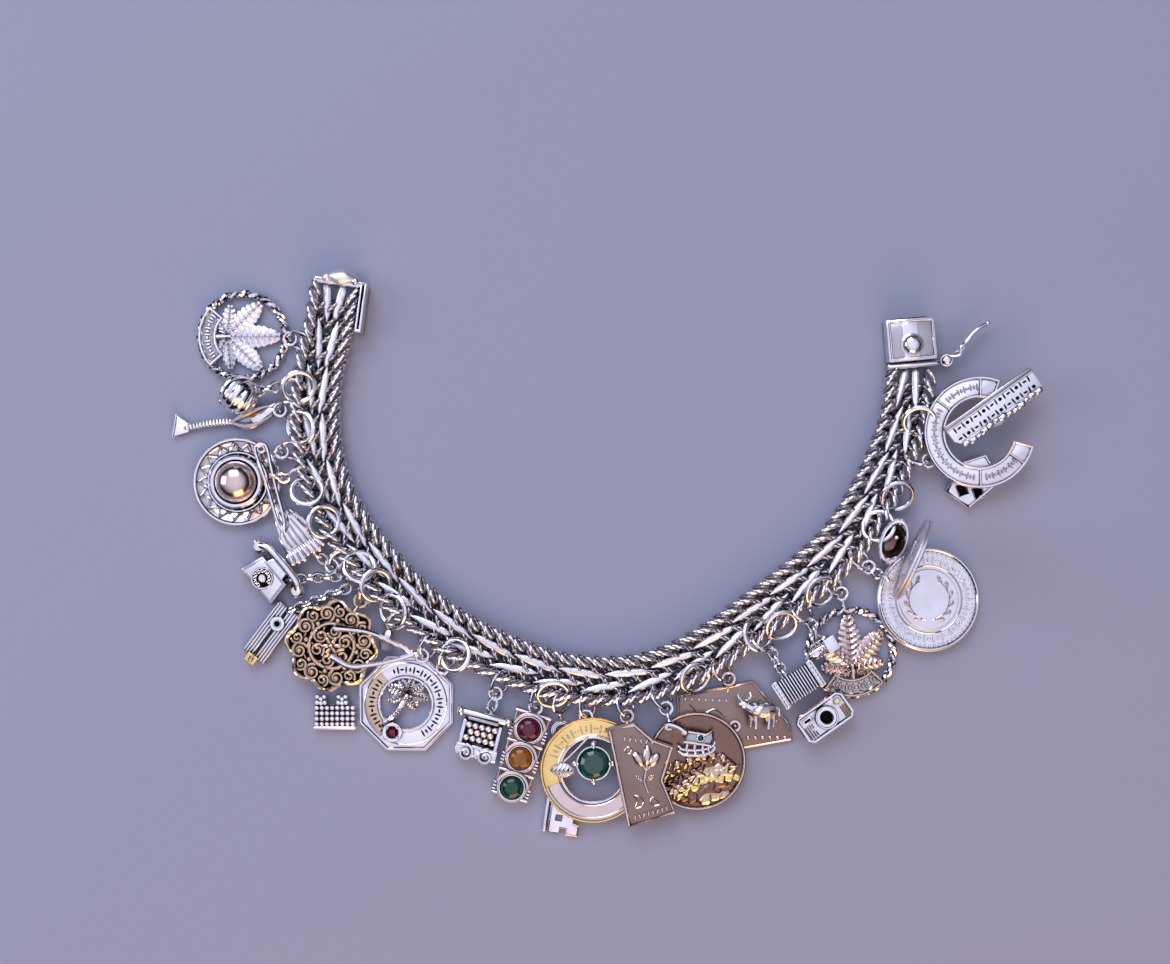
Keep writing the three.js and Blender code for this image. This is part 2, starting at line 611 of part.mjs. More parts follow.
// Small engine: boiler, cab, chimney and wheels.
function engine() {
  const frame = block(4.8, 2.6, 0.8);
  const boiler = rod([[-2.2, 0, 0], [1.0, 0, 0]], 0.95, 1, 8).translate(0, 0, 1.5);
  const cab = block(1.7, 2.4, 2.4, 0.5).translate(1.5, 0, 0);
  const chimney = drum(0.45, 1.4, 1.8, 6).translate(-1.5, 0, 0);
  return join(frame, boiler, cab, chimney);
}

// Little camera: rounded frame with a lens and a knob.
function camera() {
  const shape = outline([
    [-4.8, -1.9], [-4.1, -2.6], [4.1, -2.6], [4.8, -1.9], [4.8, 1.9], [4.1, 2.6], [-4.1, 2.6], [-4.8, 1.9],
  ]);
  const body = slab(shape, 2.4);
  const rim = annulus(2.1, 1.2, 0.9, 2.2, 8).translate(0.2, 0, 0);
  const knob = drum(0.6, 0.4, 2.2, 8).translate(3.3, 1.2, 0);
  const finder = block(1.8, 0.8, 0.5, 2.2).translate(-2.9, 1.3, 0);
  return join(body, rim, knob, finder);
}

// Hollow bell with an oval mouth, standing on its crown.
function bell() {
  const wall = lathe([
    [0, 0], [1.9, 0.2], [2.6, 1.2], [3.0, 3.2], [4.0, 4.8], [3.5, 4.9], [2.5, 3.4],
    [2.0, 1.6], [0, 1.2],
  ], 12);
  return wall.scale(0.58, 1, 1);
}

// Plain coin with a raised rim on both faces.
function coinOnEdge() {
  return lathe([
    [0, -0.45], [6.7, -0.45], [6.9, -0.6], [COIN_RADIUS, -0.6], [COIN_RADIUS, 0.6],
    [6.9, 0.6], [6.7, 0.45], [0, 0.45],
  ], 20);
}

function medal() {
  return lathe([
    [0, 0], [MEDAL_RADIUS, 0], [MEDAL_RADIUS, 1.2], [8.6, 1.2], [8.4, 0.95], [5.6, 0.95],
    [5.4, 1.15], [0, 1.15],
  ], 24);
}

// Horseshoe opening along +X, with two raised edges round its frosted band.
function horseshoe() {
  const base = band(HORSESHOE_OUTER, HORSESHOE_INNER, 42, 318, 0.9, 0, 9);
  const outerEdge = band(HORSESHOE_OUTER, HORSESHOE_OUTER - 0.5, 42, 318, 1.3, 0, 9);
  const innerEdge = band(HORSESHOE_INNER + 0.5, HORSESHOE_INNER, 42, 318, 1.3, 0, 9);
  return join(base, outerEdge, innerEdge);
}

// Long bar with a plain face, and a mountain ridge along its lower edge.
function ridgeBar() {
  const face = slab(outline([[-9.2, -0.6], [-8.4, -1.6], [8.8, -1.6], [8.8, 2.6], [-9.2, 2.6]]), 1.0);
  const ridge = slab(outline([
    [-8.4, -1.4], [-6.8, -2.8], [-3.8, -2.1], [-1.0, -3.0], [2.4, -2.3], [5.8, -2.7], [8.4, -1.4],
  ]), 1.6, 0);
  return join(face, ridge);
}

// Flat frame with four window openings and a cross bar.
function windowFrame() {
  const plate = slab(outline([[-4.8, -2.0], [-0.8, -4.8], [4.8, 0], [2.2, 4.6], [-1.4, 3.4]]), 1.8);
  const windows = [[-1.9, -1.6], [0.9, -2.1], [-0.6, 1.2], [2.3, 1.4]].map(([x, y]) => {
    return block(1.7, 1.9, 4, -1).rotateZ(turn(20)).translate(x, y, 0);
  });
  return cut(plate, ...windows);
}

// ---------------------------------------------------------------- setting out, left side
charm('leaf_disc_left', leafDisc(), SILVER(), [-63.8, 37.6, 0.2], {
  hang: [-55.0, 37.0, 1.5], neck: [-56.4, 36.9, 0.9],
});
charm('ribbed_ball', ribbedBall(), OXIDISED(), [-63.8, 27.2, 4.3], {
  turned: 20, hang: [-56.6, 28.8, 2.4], neck: [-61.0, 27.8, 4.0], solderedRing: true,
});
charm('twisted_stem', twistedStem(), OXIDISED(), [-65.1, 22.5, 0.2], {
  turned: 6, hang: [-56.6, 24.6, 1.6], neck: [-58.8, 24.7, 0.9],
});
charm('sombrero', sombrero(), SILVER(), [-64.7, 12.1, 0.1], {
  hang: [-56.6, 17.4, 1.8], neck: [-59.6, 15.8, 1.4],
});
charm('long_loop', longLoop(), SILVER(), [-58.1, 11.15, 4.0], {
  turned: 15.5, hang: [-55.6, 12.6, 3.2], neck: [-57.9, 13.4, 4.3], solderedRing: true,
});
charm('folded_hands', foldedHands(), SILVER(), [-54.8, 3.6, 0.2], {
  turned: 34, hang: [-47.8, -2.4, 1.8], neck: [-51.6, 0.2, 1.6],
});
charm('telephone', telephone(), OXIDISED(), [-59.5, -4.7, 0.2], {
  turned: -50, hang: [-46.6, -4.4, 2.2], neck: [-55.6, -4.8, 2.2], solderedRing: true,
});
charm('groove_bars', grooveBars(), OXIDISED(), [-58.8, -14.3, 0.1], {
  turned: -37, hang: [-45.0, -6.4, 1.9], neck: [-55.8, -10.6, 1.0], solderedRing: true,
});
charm('filigree_rosette', rosette(), ROSE(), [-47.9, -16.4, 2.6], {
  tip: [0, 1.5], hang: [-42.8, -8.6, 2.6], neck: [-43.9, -10.4, 3.0],
});
charm('wishbone', wishbone(), SILVER(), [-33.6, -17.9, 2.8], {
  hang: [-32.1, -18.1, 2.4], neck: [-33.4, -17.9, 2.8],
});
charm('crystal_drop', crystalDrop(), SILVER(), [-38.5, -15.7, 0.3], {
  turned: -12, hang: [-37.2, -12.8, 1.7], neck: [-38.0, -14.2, 1.5], solderedRing: true,
});
charm('beaded_keep', beadedKeep(), SILVER(), [-47.6, -28.2, 0.1]);
const palmFrame = charm('octagon_palm', octagonPalm(), FROSTED(), [-35.2, -26.8, 0.1], {
  hang: [-28.4, -20.0, 1.6], neck: [-30.4, -21.8, 0.7],
});

// ---------------------------------------------------------------- setting out, middle
charm('typewriter', typewriter(), SILVER(), [-22.2, -32.6, 0.1], {
  turned: -14, hang: [-19.4, -24.9, 2.0], neck: [-20.8, -29.4, 2.2],
});
const lampFrame = charm('signal_light', signalLight(), OXIDISED(), [-14.9, -35.6, 0.1], {
  turned: -16.5, hang: [-12.4, -27.4, 2.0], neck: [-13.0, -29.4, 1.8],
});
charm('flat_key', flatKey(), SILVER(), [-7.9, -31.6, 0.1], {
  turned: -9, hang: [-8.2, -28.0, 1.7], neck: [-8.0, -30.0, 0.8], solderedRing: true,
});
const solitaireFrame = charm('birthstone_ring', birthstoneRing(), ROSE(), [-2.4, -38.2, 1.6], {
  hang: [-3.6, -28.8, 2.4], neck: [-3.4, -30.4, 2.2],
});
charm('blossom_plate', blossomPlate(), ROSE(), [6.2, -39.2, 3.4], {
  hang: [3.4, -27.8, 2.8], neck: [3.6, -30.8, 3.8],
});
charm('medallion', medallion(), ROSE(), [15.7, -36.6, 1.6]);
charm('sleigh', sleigh(), SILVER(), [14.8, -32.4, 3.6], {
  hang: [10.2, -27.0, 3.2], neck: [11.0, -30.0, 4.4],
});
charm('dotted_plate', dottedPlate(), ROSE(), [22.2, -29.2, 0.1], {
  hang: [20.8, -21.6, 1.8], neck: [21.2, -24.6, 0.6],
});

// ---------------------------------------------------------------- setting out, right side
charm('horned_animal', hornedAnimal(), SILVER(), [26.9, -27.6, 1.5]);
charm('squeezebox', squeezebox(), SILVER(), [33.2, -23.0, 1.7], {
  turned: 33, hang: [28.2, -16.8, 2.6], neck: [31.2, -22.2, 2.6], solderedRing: true,
});
charm('engine', engine(), SILVER(), [37.6, -16.8, 1.8], {
  turned: 30, hang: [34.6, -11.2, 2.4], neck: [36.8, -16.2, 2.6], solderedRing: true,
});
charm('camera', camera(), SILVER(), [37.9, -28.8, 1.7], { turned: 35 });
charm('leaf_disc_right', leafDisc(), ROSE(), [42.8, -17.8, 0.2], {
  turned: 96, hang: [41.6, -7.9, 1.4], neck: [41.8, -10.4, 0.9],
});
charm('bell', bell(), OXIDISED(), [49.6, 1.8, 0.2], { turned: -20 });
charm('coin_on_edge', coinOnEdge(), FROSTED(), [51.9, -1.1, 9.9], { turned: -23.5, tip: [0, 84] });
charm('medal', medal(), FROSTED(), [56.2, -8.5, 1.0], {
  tip: [-3.2, 4.7], hang: [47.6, -4.4, 1.8], neck: [49.0, -5.2, 1.9],
});
charm('horseshoe', horseshoe(), FROSTED(), [64.6, 20.7, 3.5], {
  turned: 27, hang: [56.0, 15.8, 3.2], neck: [57.4, 16.6, 4.0],
});
charm('ridge_bar', ridgeBar(), FROSTED(), [67.0, 24.8, 5.1], { turned: 35.5 });
charm('window_frame', windowFrame(), SILVER(), [64.1, 12.3, 0.2]);

// ---------------------------------------------------------------- stones in their seats
function setStone(name, frame, geometry, seat, colour) {
  const mesh = new THREE.Mesh(geometry, GEM(colour));
  mesh.name = name;
  mesh.position.copy(frame.localToWorld(new THREE.Vector3(...seat)));
  mesh.quaternion.copy(frame.quaternion);
  bracelet.add(mesh);
}
const LAMP_COLOURS = { lamp_red: 0x7d1038, lamp_amber: 0xc98412, lamp_green: 0x0d5a40 };
Object.entries(LAMP_COLOURS).forEach(([name, colour], i) => {
  setStone(name, lampFrame, roundStone(LAMP_RADIUS, 1.1), [0, LAMP_Y[i], 2.7], colour);
});
setStone('solitaire_green', solitaireFrame, solitaireStone(), [...SOLITAIRE, 0.2], 0x0b5b45);
setStone('palm_ruby', palmFrame, roundStone(PALM_STONE_RADIUS, 0.7), [...PALM_STONE, PLATE + 0.3], 0xa0164e);

// The origin goes under the middle of the outline, on the table.
const outlineBox = new THREE.Box3().setFromObject(bracelet, true);
const middle = outlineBox.getCenter(new THREE.Vector3());
bracelet.position.set(-middle.x, -middle.y, -outlineBox.min.z);

export default bracelet;
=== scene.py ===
"""Looks of a silver charm bracelet that lies open on a table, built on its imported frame."""

import json
import math

import bmesh
import bpy
import numpy as np
from bpy.props import FloatProperty, FloatVectorProperty, PointerProperty
from mathutils import Euler, Matrix, Vector


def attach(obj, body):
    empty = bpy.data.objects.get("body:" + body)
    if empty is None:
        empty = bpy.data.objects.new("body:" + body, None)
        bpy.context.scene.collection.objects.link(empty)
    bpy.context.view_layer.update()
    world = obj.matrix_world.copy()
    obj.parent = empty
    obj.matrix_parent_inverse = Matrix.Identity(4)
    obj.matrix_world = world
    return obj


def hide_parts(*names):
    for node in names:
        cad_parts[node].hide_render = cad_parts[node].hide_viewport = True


bl_info = {
    "name": "Charm bracelet",
    "version": (1, 0, 0),
    "blender": (4, 5, 0),
    "location": "3D View > Sidebar > Bracelet",
    "description": "Builds the chain, clasp and charms of a silver charm bracelet on its frame",
    "category": "Object",
}

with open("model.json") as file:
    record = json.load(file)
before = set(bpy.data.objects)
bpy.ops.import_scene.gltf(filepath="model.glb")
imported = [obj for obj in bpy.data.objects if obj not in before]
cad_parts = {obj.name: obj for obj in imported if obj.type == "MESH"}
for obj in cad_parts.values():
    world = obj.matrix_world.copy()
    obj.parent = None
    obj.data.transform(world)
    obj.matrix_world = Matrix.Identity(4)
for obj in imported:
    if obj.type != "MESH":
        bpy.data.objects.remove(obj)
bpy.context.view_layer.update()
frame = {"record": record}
MM = 0.001
BODY = "bracelet"
CATCH_BODY = "safety_catch"

# The chain route and the charm places below start from the middle line's own origin; this
# takes them to the frame's origin, which is under the middle of the outline.
ORIGIN = np.array([0.5047, 0.3675, -0.037])


# ---------------------------------------------------------------------------- forms
class Form:
    """Points in millimetres and faces of one solid, with the finish that it wears."""

    def __init__(self, points, faces, finish="polished", uv=None):
        self.points = np.asarray(points, float).reshape(-1, 3)
        self.faces = faces
        self.finish = finish
        self.uv = uv

    def of(self, finish):
        """The same solid in another finish."""
        return Form(self.points, self.faces, finish, self.uv)

    def by(self, matrix):
        """The solid moved by a 4 x 4 matrix."""
        m = np.array(matrix, float)
        faces = self.faces
        if np.linalg.det(m[:3, :3]) < 0:
            faces = [face[::-1] for face in faces]
        return Form(self.points @ m[:3, :3].T + m[:3, 3], faces, self.finish, self.uv)

    def moved(self, x=0.0, y=0.0, z=0.0):
        """The solid slid by x, y, z millimetres."""
        return self.by(Matrix.Translation((x, y, z)))

    def turned(self, degrees, axis="Z"):
        """The solid turned about an axis through its origin."""
        return self.by(Matrix.Rotation(math.radians(degrees), 4, axis))

    def scaled(self, x=1.0, y=1.0, z=1.0):
        """The solid stretched along its axes."""
        return self.by(Matrix.Diagonal((x, y, z, 1.0)))


def frames_along(path, closed):
    """Tangent, side and up vectors that turn as little as they can along a path."""
    ahead = np.roll(path, -1, 0) - np.roll(path, 1, 0)
    if not closed:
        ahead[0], ahead[-1] = path[1] - path[0], path[-1] - path[-2]
    tangent = ahead / np.maximum(np.linalg.norm(ahead, axis=1, keepdims=True), 1e-9)
    start = np.array([0.0, 0.0, 1.0]) if abs(tangent[0, 2]) < 0.9 else np.array([1.0, 0.0, 0.0])
    side = np.empty_like(path)
    side[0] = np.cross(start, tangent[0])
    side[0] /= np.linalg.norm(side[0])
    for i in range(1, len(path)):
        across = side[i - 1] - tangent[i] * (side[i - 1] @ tangent[i])
        side[i] = across / max(np.linalg.norm(across), 1e-9)
    return tangent, side, np.cross(tangent, side)


def tube(path, radius, sides=8, closed=False, twist=0.0):
    """Wire along a path, closed on itself or with round ends, twisted by some degrees."""
    path = np.asarray(path, float)
    radii = np.full(len(path), radius, float) if np.isscalar(radius) else np.asarray(radius, float)
    if not closed:
        first = (path[0] - path[1]) / np.linalg.norm(path[0] - path[1])
        last = (path[-1] - path[-2]) / np.linalg.norm(path[-1] - path[-2])
        steps = ((0.5, 0.87), (0.87, 0.5), (1.0, 0.08))
        head = [path[0] + first * radii[0] * out for out, _ in steps][::-1]
        tail = [path[-1] + last * radii[-1] * out for out, _ in steps]
        head_radii = [radii[0] * size for _, size in steps][::-1]
        tail_radii = [radii[-1] * size for _, size in steps]
        path = np.vstack([head, path, tail])
        radii = np.concatenate([head_radii, radii, tail_radii])
    _, side, up = frames_along(path, closed)
    count = len(path)
    turn = np.linspace(0, math.radians(twist), count)[:, None]
    angle = 2 * math.pi * np.arange(sides)[None, :] / sides + math.pi / sides
    across = np.cos(angle) * np.cos(turn) - np.sin(angle) * np.sin(turn)
    height = np.cos(angle) * np.sin(turn) + np.sin(angle) * np.cos(turn)
    points = (path[:, None, :] + radii[:, None, None]
              * (across[..., None] * side[:, None, :] + height[..., None] * up[:, None, :]))
    faces = []
    for i in range(count if closed else count - 1):
        below, above = i * sides, (i + 1) % count * sides
        for j in range(sides):
            k = (j + 1) % sides
            faces.append([below + j, below + k, above + k, above + j])
    if not closed:
        faces.append(list(range(sides))[::-1])
        faces.append([(count - 1) * sides + j for j in range(sides)])
    return Form(points, faces)


def lathe(profile, steps=40, swell=None):
    """A profile of (radius, height) spun about Z; swell(angle, radius, height) may scale it."""
    rows, points, faces = [], [], []
    for radius, height in profile:
        if radius < 1e-6:
            rows.append([len(points)])
            points.append((0, 0, height))
            continue
        rows.append(range(len(points), len(points) + steps))
        for j in range(steps):
            angle = 2 * math.pi * j / steps
            size = radius * (swell(angle, radius, height) if swell else 1)
            points.append((size * math.cos(angle), size * math.sin(angle), height))
    pairs = list(zip(rows, rows[1:]))
    if len(rows[0]) > 1 and len(rows[-1]) > 1:
        pairs.append((rows[-1], rows[0]))
    for low, high in pairs:
        for j in range(steps):
            k = (j + 1) % steps
            ring = [low[j % len(low)], low[k % len(low)], high[k % len(high)], high[j % len(high)]]
            faces.append(list(dict.fromkeys(ring)))
    return Form(points, [face for face in faces if len(face) > 2])


def ball(radius, steps=16, swell=None):
    """A ball; swell may ripple it round its axis."""
    rows = max(steps // 2, 4)
    angles = [math.pi * (i / rows - 0.5) for i in range(rows + 1)]
    profile = [(max(radius * math.cos(a), 0) if 0 < i < rows else 0, radius * math.sin(a))
               for i, a in enumerate(angles)]
    return lathe(profile, steps, swell)


def mesh_form(mesh):
    """The form of a Blender mesh, whose doubled points are merged."""
    work = bmesh.new()
    work.from_mesh(mesh)
    bpy.data.meshes.remove(mesh)
    return work_form(work)


def work_form(work):
    """The form of a bmesh, which is then freed."""
    bmesh.ops.remove_doubles(work, verts=work.verts, dist=1e-4)
    bmesh.ops.recalc_face_normals(work, faces=work.faces)
    points = [tuple(v.co) for v in work.verts]
    faces = [[v.index for v in face.verts] for face in work.faces]
    work.free()
    return Form(points, faces)


def plate(outline, thick, low=0.0, holes=(), edge=0.12):
    """A flat sheet cut to an outline of (x, y) points, with softened edges."""
    curve = bpy.data.curves.new("outline", "CURVE")
    curve.dimensions, curve.fill_mode = "2D", "BOTH"
    for ring_points in (outline, *holes):
        spline = curve.splines.new("POLY")
        spline.points.add(len(ring_points) - 1)
        for spot, (x, y) in zip(spline.points, ring_points):
            spot.co = (x, y, 0, 1)
        spline.use_cyclic_u = True
    curve.extrude = max(thick / 2 - edge, 1e-3)
    curve.bevel_depth, curve.bevel_resolution, curve.offset = edge, 1, -edge
    holder = bpy.data.objects.new("outline", curve)
    mesh = bpy.data.meshes.new_from_object(holder)
    bpy.data.objects.remove(holder)
    bpy.data.curves.remove(curve)
    return mesh_form(mesh).moved(0, 0, low + thick / 2)


def block(width, depth, height, low=0.0, edge=0.15):
    """A box standing on low, with its edges rounded."""
    work = bmesh.new()
    bmesh.ops.create_cube(work, size=1)
    bmesh.ops.scale(work, vec=(width, depth, height), verts=work.verts)
    bmesh.ops.bevel(work, geom=work.edges[:], offset=edge, segments=2, profile=0.5,
                    affect="EDGES")
    work.verts.index_update()
    return work_form(work).moved(0, 0, low + height / 2)


def drum(radius, height, low=0.0, steps=32):
    """A round disc standing on low, with its rims softened."""
    edge, top = 0.12, low + height
    return lathe([(0, low), (radius - edge, low), (radius, low + edge), (radius, top - edge),
                  (radius - edge, top), (0, top)], steps)


def washer(outer, inner, height, low=0.0, steps=48):
    """A flat ring standing on low, with its rims softened."""
    edge, top = 0.1, low + height
    return lathe([(inner + edge, low), (outer - edge, low), (outer, low + edge),
                  (outer, top - edge), (outer - edge, top), (inner + edge, top),
                  (inner, top - edge), (inner, low + edge)], steps)


def arc(radius, start, end, steps=12):
    """Points on a circle's arc, in degrees."""
    return [(radius * math.cos(a), radius * math.sin(a))
            for a in np.radians(np.linspace(start, end, steps))]


def spot(radius, angle):
    """The point on a circle at an angle, in degrees."""
    return arc(radius, angle, angle, 1)[0]


def arched(outer, inner, start, end, steps=16):
    """Outline of a band between two arcs."""
    return arc(outer, start, end, steps) + arc(inner, end, start, steps)


def raised(points, z=0.0):
    """(x, y) points lifted to a height."""
    return [(x, y, z) for x, y in points]


def hoop(radius, wire, steps=32, sides=8):
    """A round wire ring lying flat."""
    return tube(raised(arc(radius, 0, 360, steps + 1)[:-1]), wire, sides, closed=True)


def curve_through(points, steps=6):
    """A smooth curve through points, by centripetal Catmull-Rom spans."""
    points = [np.asarray(p, float) for p in points]
    knots = [2 * points[0] - points[1], *points, 2 * points[-1] - points[-2]]
    smooth = []
    for a, b, c, d in zip(knots, knots[1:], knots[2:], knots[3:]):
        t = np.cumsum([0] + [max(np.linalg.norm(q - p), 1e-6) ** 0.5
                             for p, q in ((a, b), (b, c), (c, d))])
        for u in np.linspace(t[1], t[2], steps, endpoint=False):
            ab = (a * (t[1] - u) + b * (u - t[0])) / (t[1] - t[0])
            bc = (b * (t[2] - u) + c * (u - t[1])) / (t[2] - t[1])
            cd = (c * (t[3] - u) + d * (u - t[2])) / (t[3] - t[2])
            low = (ab * (t[2] - u) + bc * (u - t[0])) / (t[2] - t[0])
            high = (bc * (t[3] - u) + cd * (u - t[1])) / (t[3] - t[1])
            smooth.append((low * (t[2] - u) + high * (u - t[1])) / (t[2] - t[1]))
    smooth.append(points[-1])
    return np.array(smooth)


def wire(points, radius, steps=6, sides=8):
    """Wire bent smoothly through a few points."""
    path = curve_through(points, steps)
    if not np.isscalar(radius):
        spots = np.linspace(0, len(radius) - 1, len(path))
        radius = np.interp(spots, range(len(radius)), radius)
    return tube(path, radius, sides)


def skin_faces(rows, wide):
    """Faces of an upper and a lower grid of rows x wide points, and of the rim between them."""
    count = rows * wide
    faces = []
    for i in range(rows - 1):
        for j in range(wide - 1):
            a = i * wide + j
            faces.append([a, a + wide, a + wide + 1, a + 1])
            faces.append([count + a, count + a + 1, count + a + wide + 1, count + a + wide])
    rim = (list(range(wide)) + [i * wide + wide - 1 for i in range(1, rows)]
           + [(rows - 1) * wide + j for j in range(wide - 2, -1, -1)]
           + [i * wide for i in range(rows - 2, 0, -1)])
    for a, b in zip(rim, rim[1:] + rim[:1]):
        faces.append([a, b, count + b, count + a])
    return faces


def feather(length, width, ribs, thick=0.7, ridge=0.22, finish="frosted"):
    """A leaf lobe along +X: toothed edges and slanted ridges on both sides of a midrib."""
    along = np.linspace(0, 1, ribs * 4 + 1)
    halves = np.array([-1, -0.66, -0.33, -0.06, 0, 0.06, 0.33, 0.66, 1])
    points = []
    for t in along:
        tooth = 1 - 0.2 * (t * ribs % 1)
        half = width * (math.sin(math.pi * min(t * 0.86 + 0.08, 1)) ** 0.75) * tooth + 0.05
        for h in halves:
            phase = (t * ribs - abs(h) * 0.9) % 1
            top = thick + ridge * abs(2 * phase - 1) - 0.3 * abs(h) ** 2
            points.append((t * length + abs(h) * 0.5 * (1 - t), h * half,
                           top if h else thick + ridge))
    points += [(x, y, 0.15) for x, y, _ in points]
    return Form(points, skin_faces(len(along), len(halves)), finish)


def twisted_ring(radius, strand, turns):
    """Border of two wires twisted round each other."""
    rings = []
    for phase in (0, math.pi):
        angle = np.linspace(0, 2 * math.pi, 220, endpoint=False)
        wind = angle * turns + phase
        out = radius + strand * np.cos(wind)
        path = np.stack([out * np.cos(angle), out * np.sin(angle),
                         strand + strand * np.sin(wind)], 1)
        rings.append(tube(path, strand, 7, closed=True))
    return rings


# ---------------------------------------------------------------------------- materials
def rgb(code):
    """An sRGB hex colour as linear RGBA."""
    parts = [int(code[i:i + 2], 16) / 255 for i in (0, 2, 4)]
    return (*(c / 12.92 if c <= 0.04045 else ((c + 0.055) / 1.055) ** 2.4 for c in parts), 1.0)


def add(tree, kind, inputs=None, **settings):
    """Adds a node with its settings; an input is a value or the socket that feeds it."""
    made = tree.nodes.new(kind)
    for key, value in settings.items():
        setattr(made, key, value)
    for key, value in (inputs or {}).items():
        if isinstance(value, bpy.types.NodeSocket):
            tree.links.new(value, made.inputs[key])
        else:
            made.inputs[key].default_value = value
    return made


def mixed(tree, factor, first, second):
    """The colour between two colours or colour sockets."""
    return add(tree, "ShaderNodeMix", {0: factor, 6: first, 7: second}, data_type="RGBA").outputs[2]


def new_material(name):
    """An empty node material and its tree."""
    material = bpy.data.materials.new(name)
    material.use_nodes = True
    material.node_tree.nodes.clear()
    return material, material.node_tree


def close_material(tree, shader):
    """Joins a shader to the material's output."""
    add(tree, "ShaderNodeOutputMaterial", {"Surface": shader.outputs[0]})


def close_metal(tree, colour, marks, roughness, relief):
    """Ends a metal's tree: its marks, from 0 to 1, set how rough and how raised it is."""
    rough = add(tree, "ShaderNodeMapRange",
                {"Value": marks, "To Min": roughness[0], "To Max": roughness[1]})
    bump = add(tree, "ShaderNodeBump",
               {"Height": marks, "Strength": relief, "Distance": MARK_DEPTH * MM})
    shader = add(tree, "ShaderNodeBsdfPrincipled",
                 {"Base Color": colour, "Metallic": 1.0,
                  "Roughness": rough.outputs["Result"], "Normal": bump.outputs["Normal"]})
    close_material(tree, shader)


# How deep scratches, frosting and engraved lines go, in millimetres.
MARK_DEPTH = 0.05


def silver(name, bright, oxide, roughness=0.2, recess=0.7, depth=(0.3, 0.75), grain=0.25,
           relief=0.1):
    """Sterling silver: bright where a hand rubs it and where it lies open, blackened in its
    recesses by oxide and by painted shade.

    recess is how near, in mm, a wall has to be to keep oxide and painted shade on a spot;
    depth says how shut in a dark and a bright spot are; grain is the size, in mm, of its fine
    marks. A thin tarnish that comes and goes over a few mm dulls it.
    """
    material, tree = new_material(name)
    place = add(tree, "ShaderNodeTexCoord").outputs["Object"]
    # The occlusion darkens shut-in spots towards the oxide colour: real oxide and painted shade
    # together.
    open_air = add(tree, "ShaderNodeAmbientOcclusion", {"Distance": recess * MM}, samples=6)
    worn_and_lit = add(tree, "ShaderNodeMapRange",
                 {"Value": open_air.outputs["AO"], "From Min": depth[0], "From Max": depth[1]},
                 interpolation_type="SMOOTHSTEP")
    fine = add(tree, "ShaderNodeTexNoise",
               {"Vector": place, "Scale": 1 / (grain * MM), "Detail": 3.0, "Roughness": 0.6})
    broad = add(tree, "ShaderNodeTexNoise",
                {"Vector": place, "Scale": 1 / (3.0 * MM), "Detail": 2.0})
    dull = [part * shade for part, shade in zip(bright, (0.8, 0.76, 0.74, 1.0))]
    tone = mixed(tree, broad.outputs["Fac"], tuple(bright), dull)
    colour = mixed(tree, worn_and_lit.outputs["Result"], tuple(oxide), tone)
    close_metal(tree, colour, fine.outputs["Fac"], (roughness * 0.7, roughness * 1.4), relief)
    return material


def hatched_silver(name, bright, oxide):
    """Satin links with fine engraved lines across them; the map runs along each link."""
    material, tree = new_material(name)
    chart = add(tree, "ShaderNodeUVMap", uv_map="along")
    lines = add(tree, "ShaderNodeTexWave",
                {"Vector": chart.outputs["UV"], "Scale": 1.0, "Distortion": 1.2,
                 "Detail": 2.0, "Detail Scale": 1.5},
                wave_type="BANDS", bands_direction="DIAGONAL")
    # Shut-in spots darken towards the oxide colour: real oxide and painted shade together.
    open_air = add(tree, "ShaderNodeAmbientOcclusion", {"Distance": 0.9 * MM}, samples=6)
    worn_and_lit = add(tree, "ShaderNodeMapRange",
                 {"Value": open_air.outputs["AO"], "From Min": 0.55, "From Max": 0.97})
    colour = mixed(tree, worn_and_lit.outputs["Result"], tuple(oxide), tuple(bright))
    close_metal(tree, colour, lines.outputs["Fac"], (0.12, 0.34), 0.4)
    return material


def stone(name, colour, bend=1.52):
    """A cut stone: strongly coloured, darker in its depths; bend is its index of refraction."""
    material, tree = new_material(name)
    place = add(tree, "ShaderNodeTexCoord").outputs["Object"]
    swirl = add(tree, "ShaderNodeTexNoise",
                {"Vector": place, "Scale": 1 / (0.9 * MM), "Detail": 2.0})
    depths = [part * 0.16 for part in colour[:3]] + [1.0]
    tone = mixed(tree, swirl.outputs["Fac"], depths, tuple(colour))
    shader = add(tree, "ShaderNodeBsdfPrincipled",
                 {"Base Color": tone, "Roughness": 0.04, "IOR": bend,
                  "Transmission Weight": 0.2})
    close_material(tree, shader)
    return material
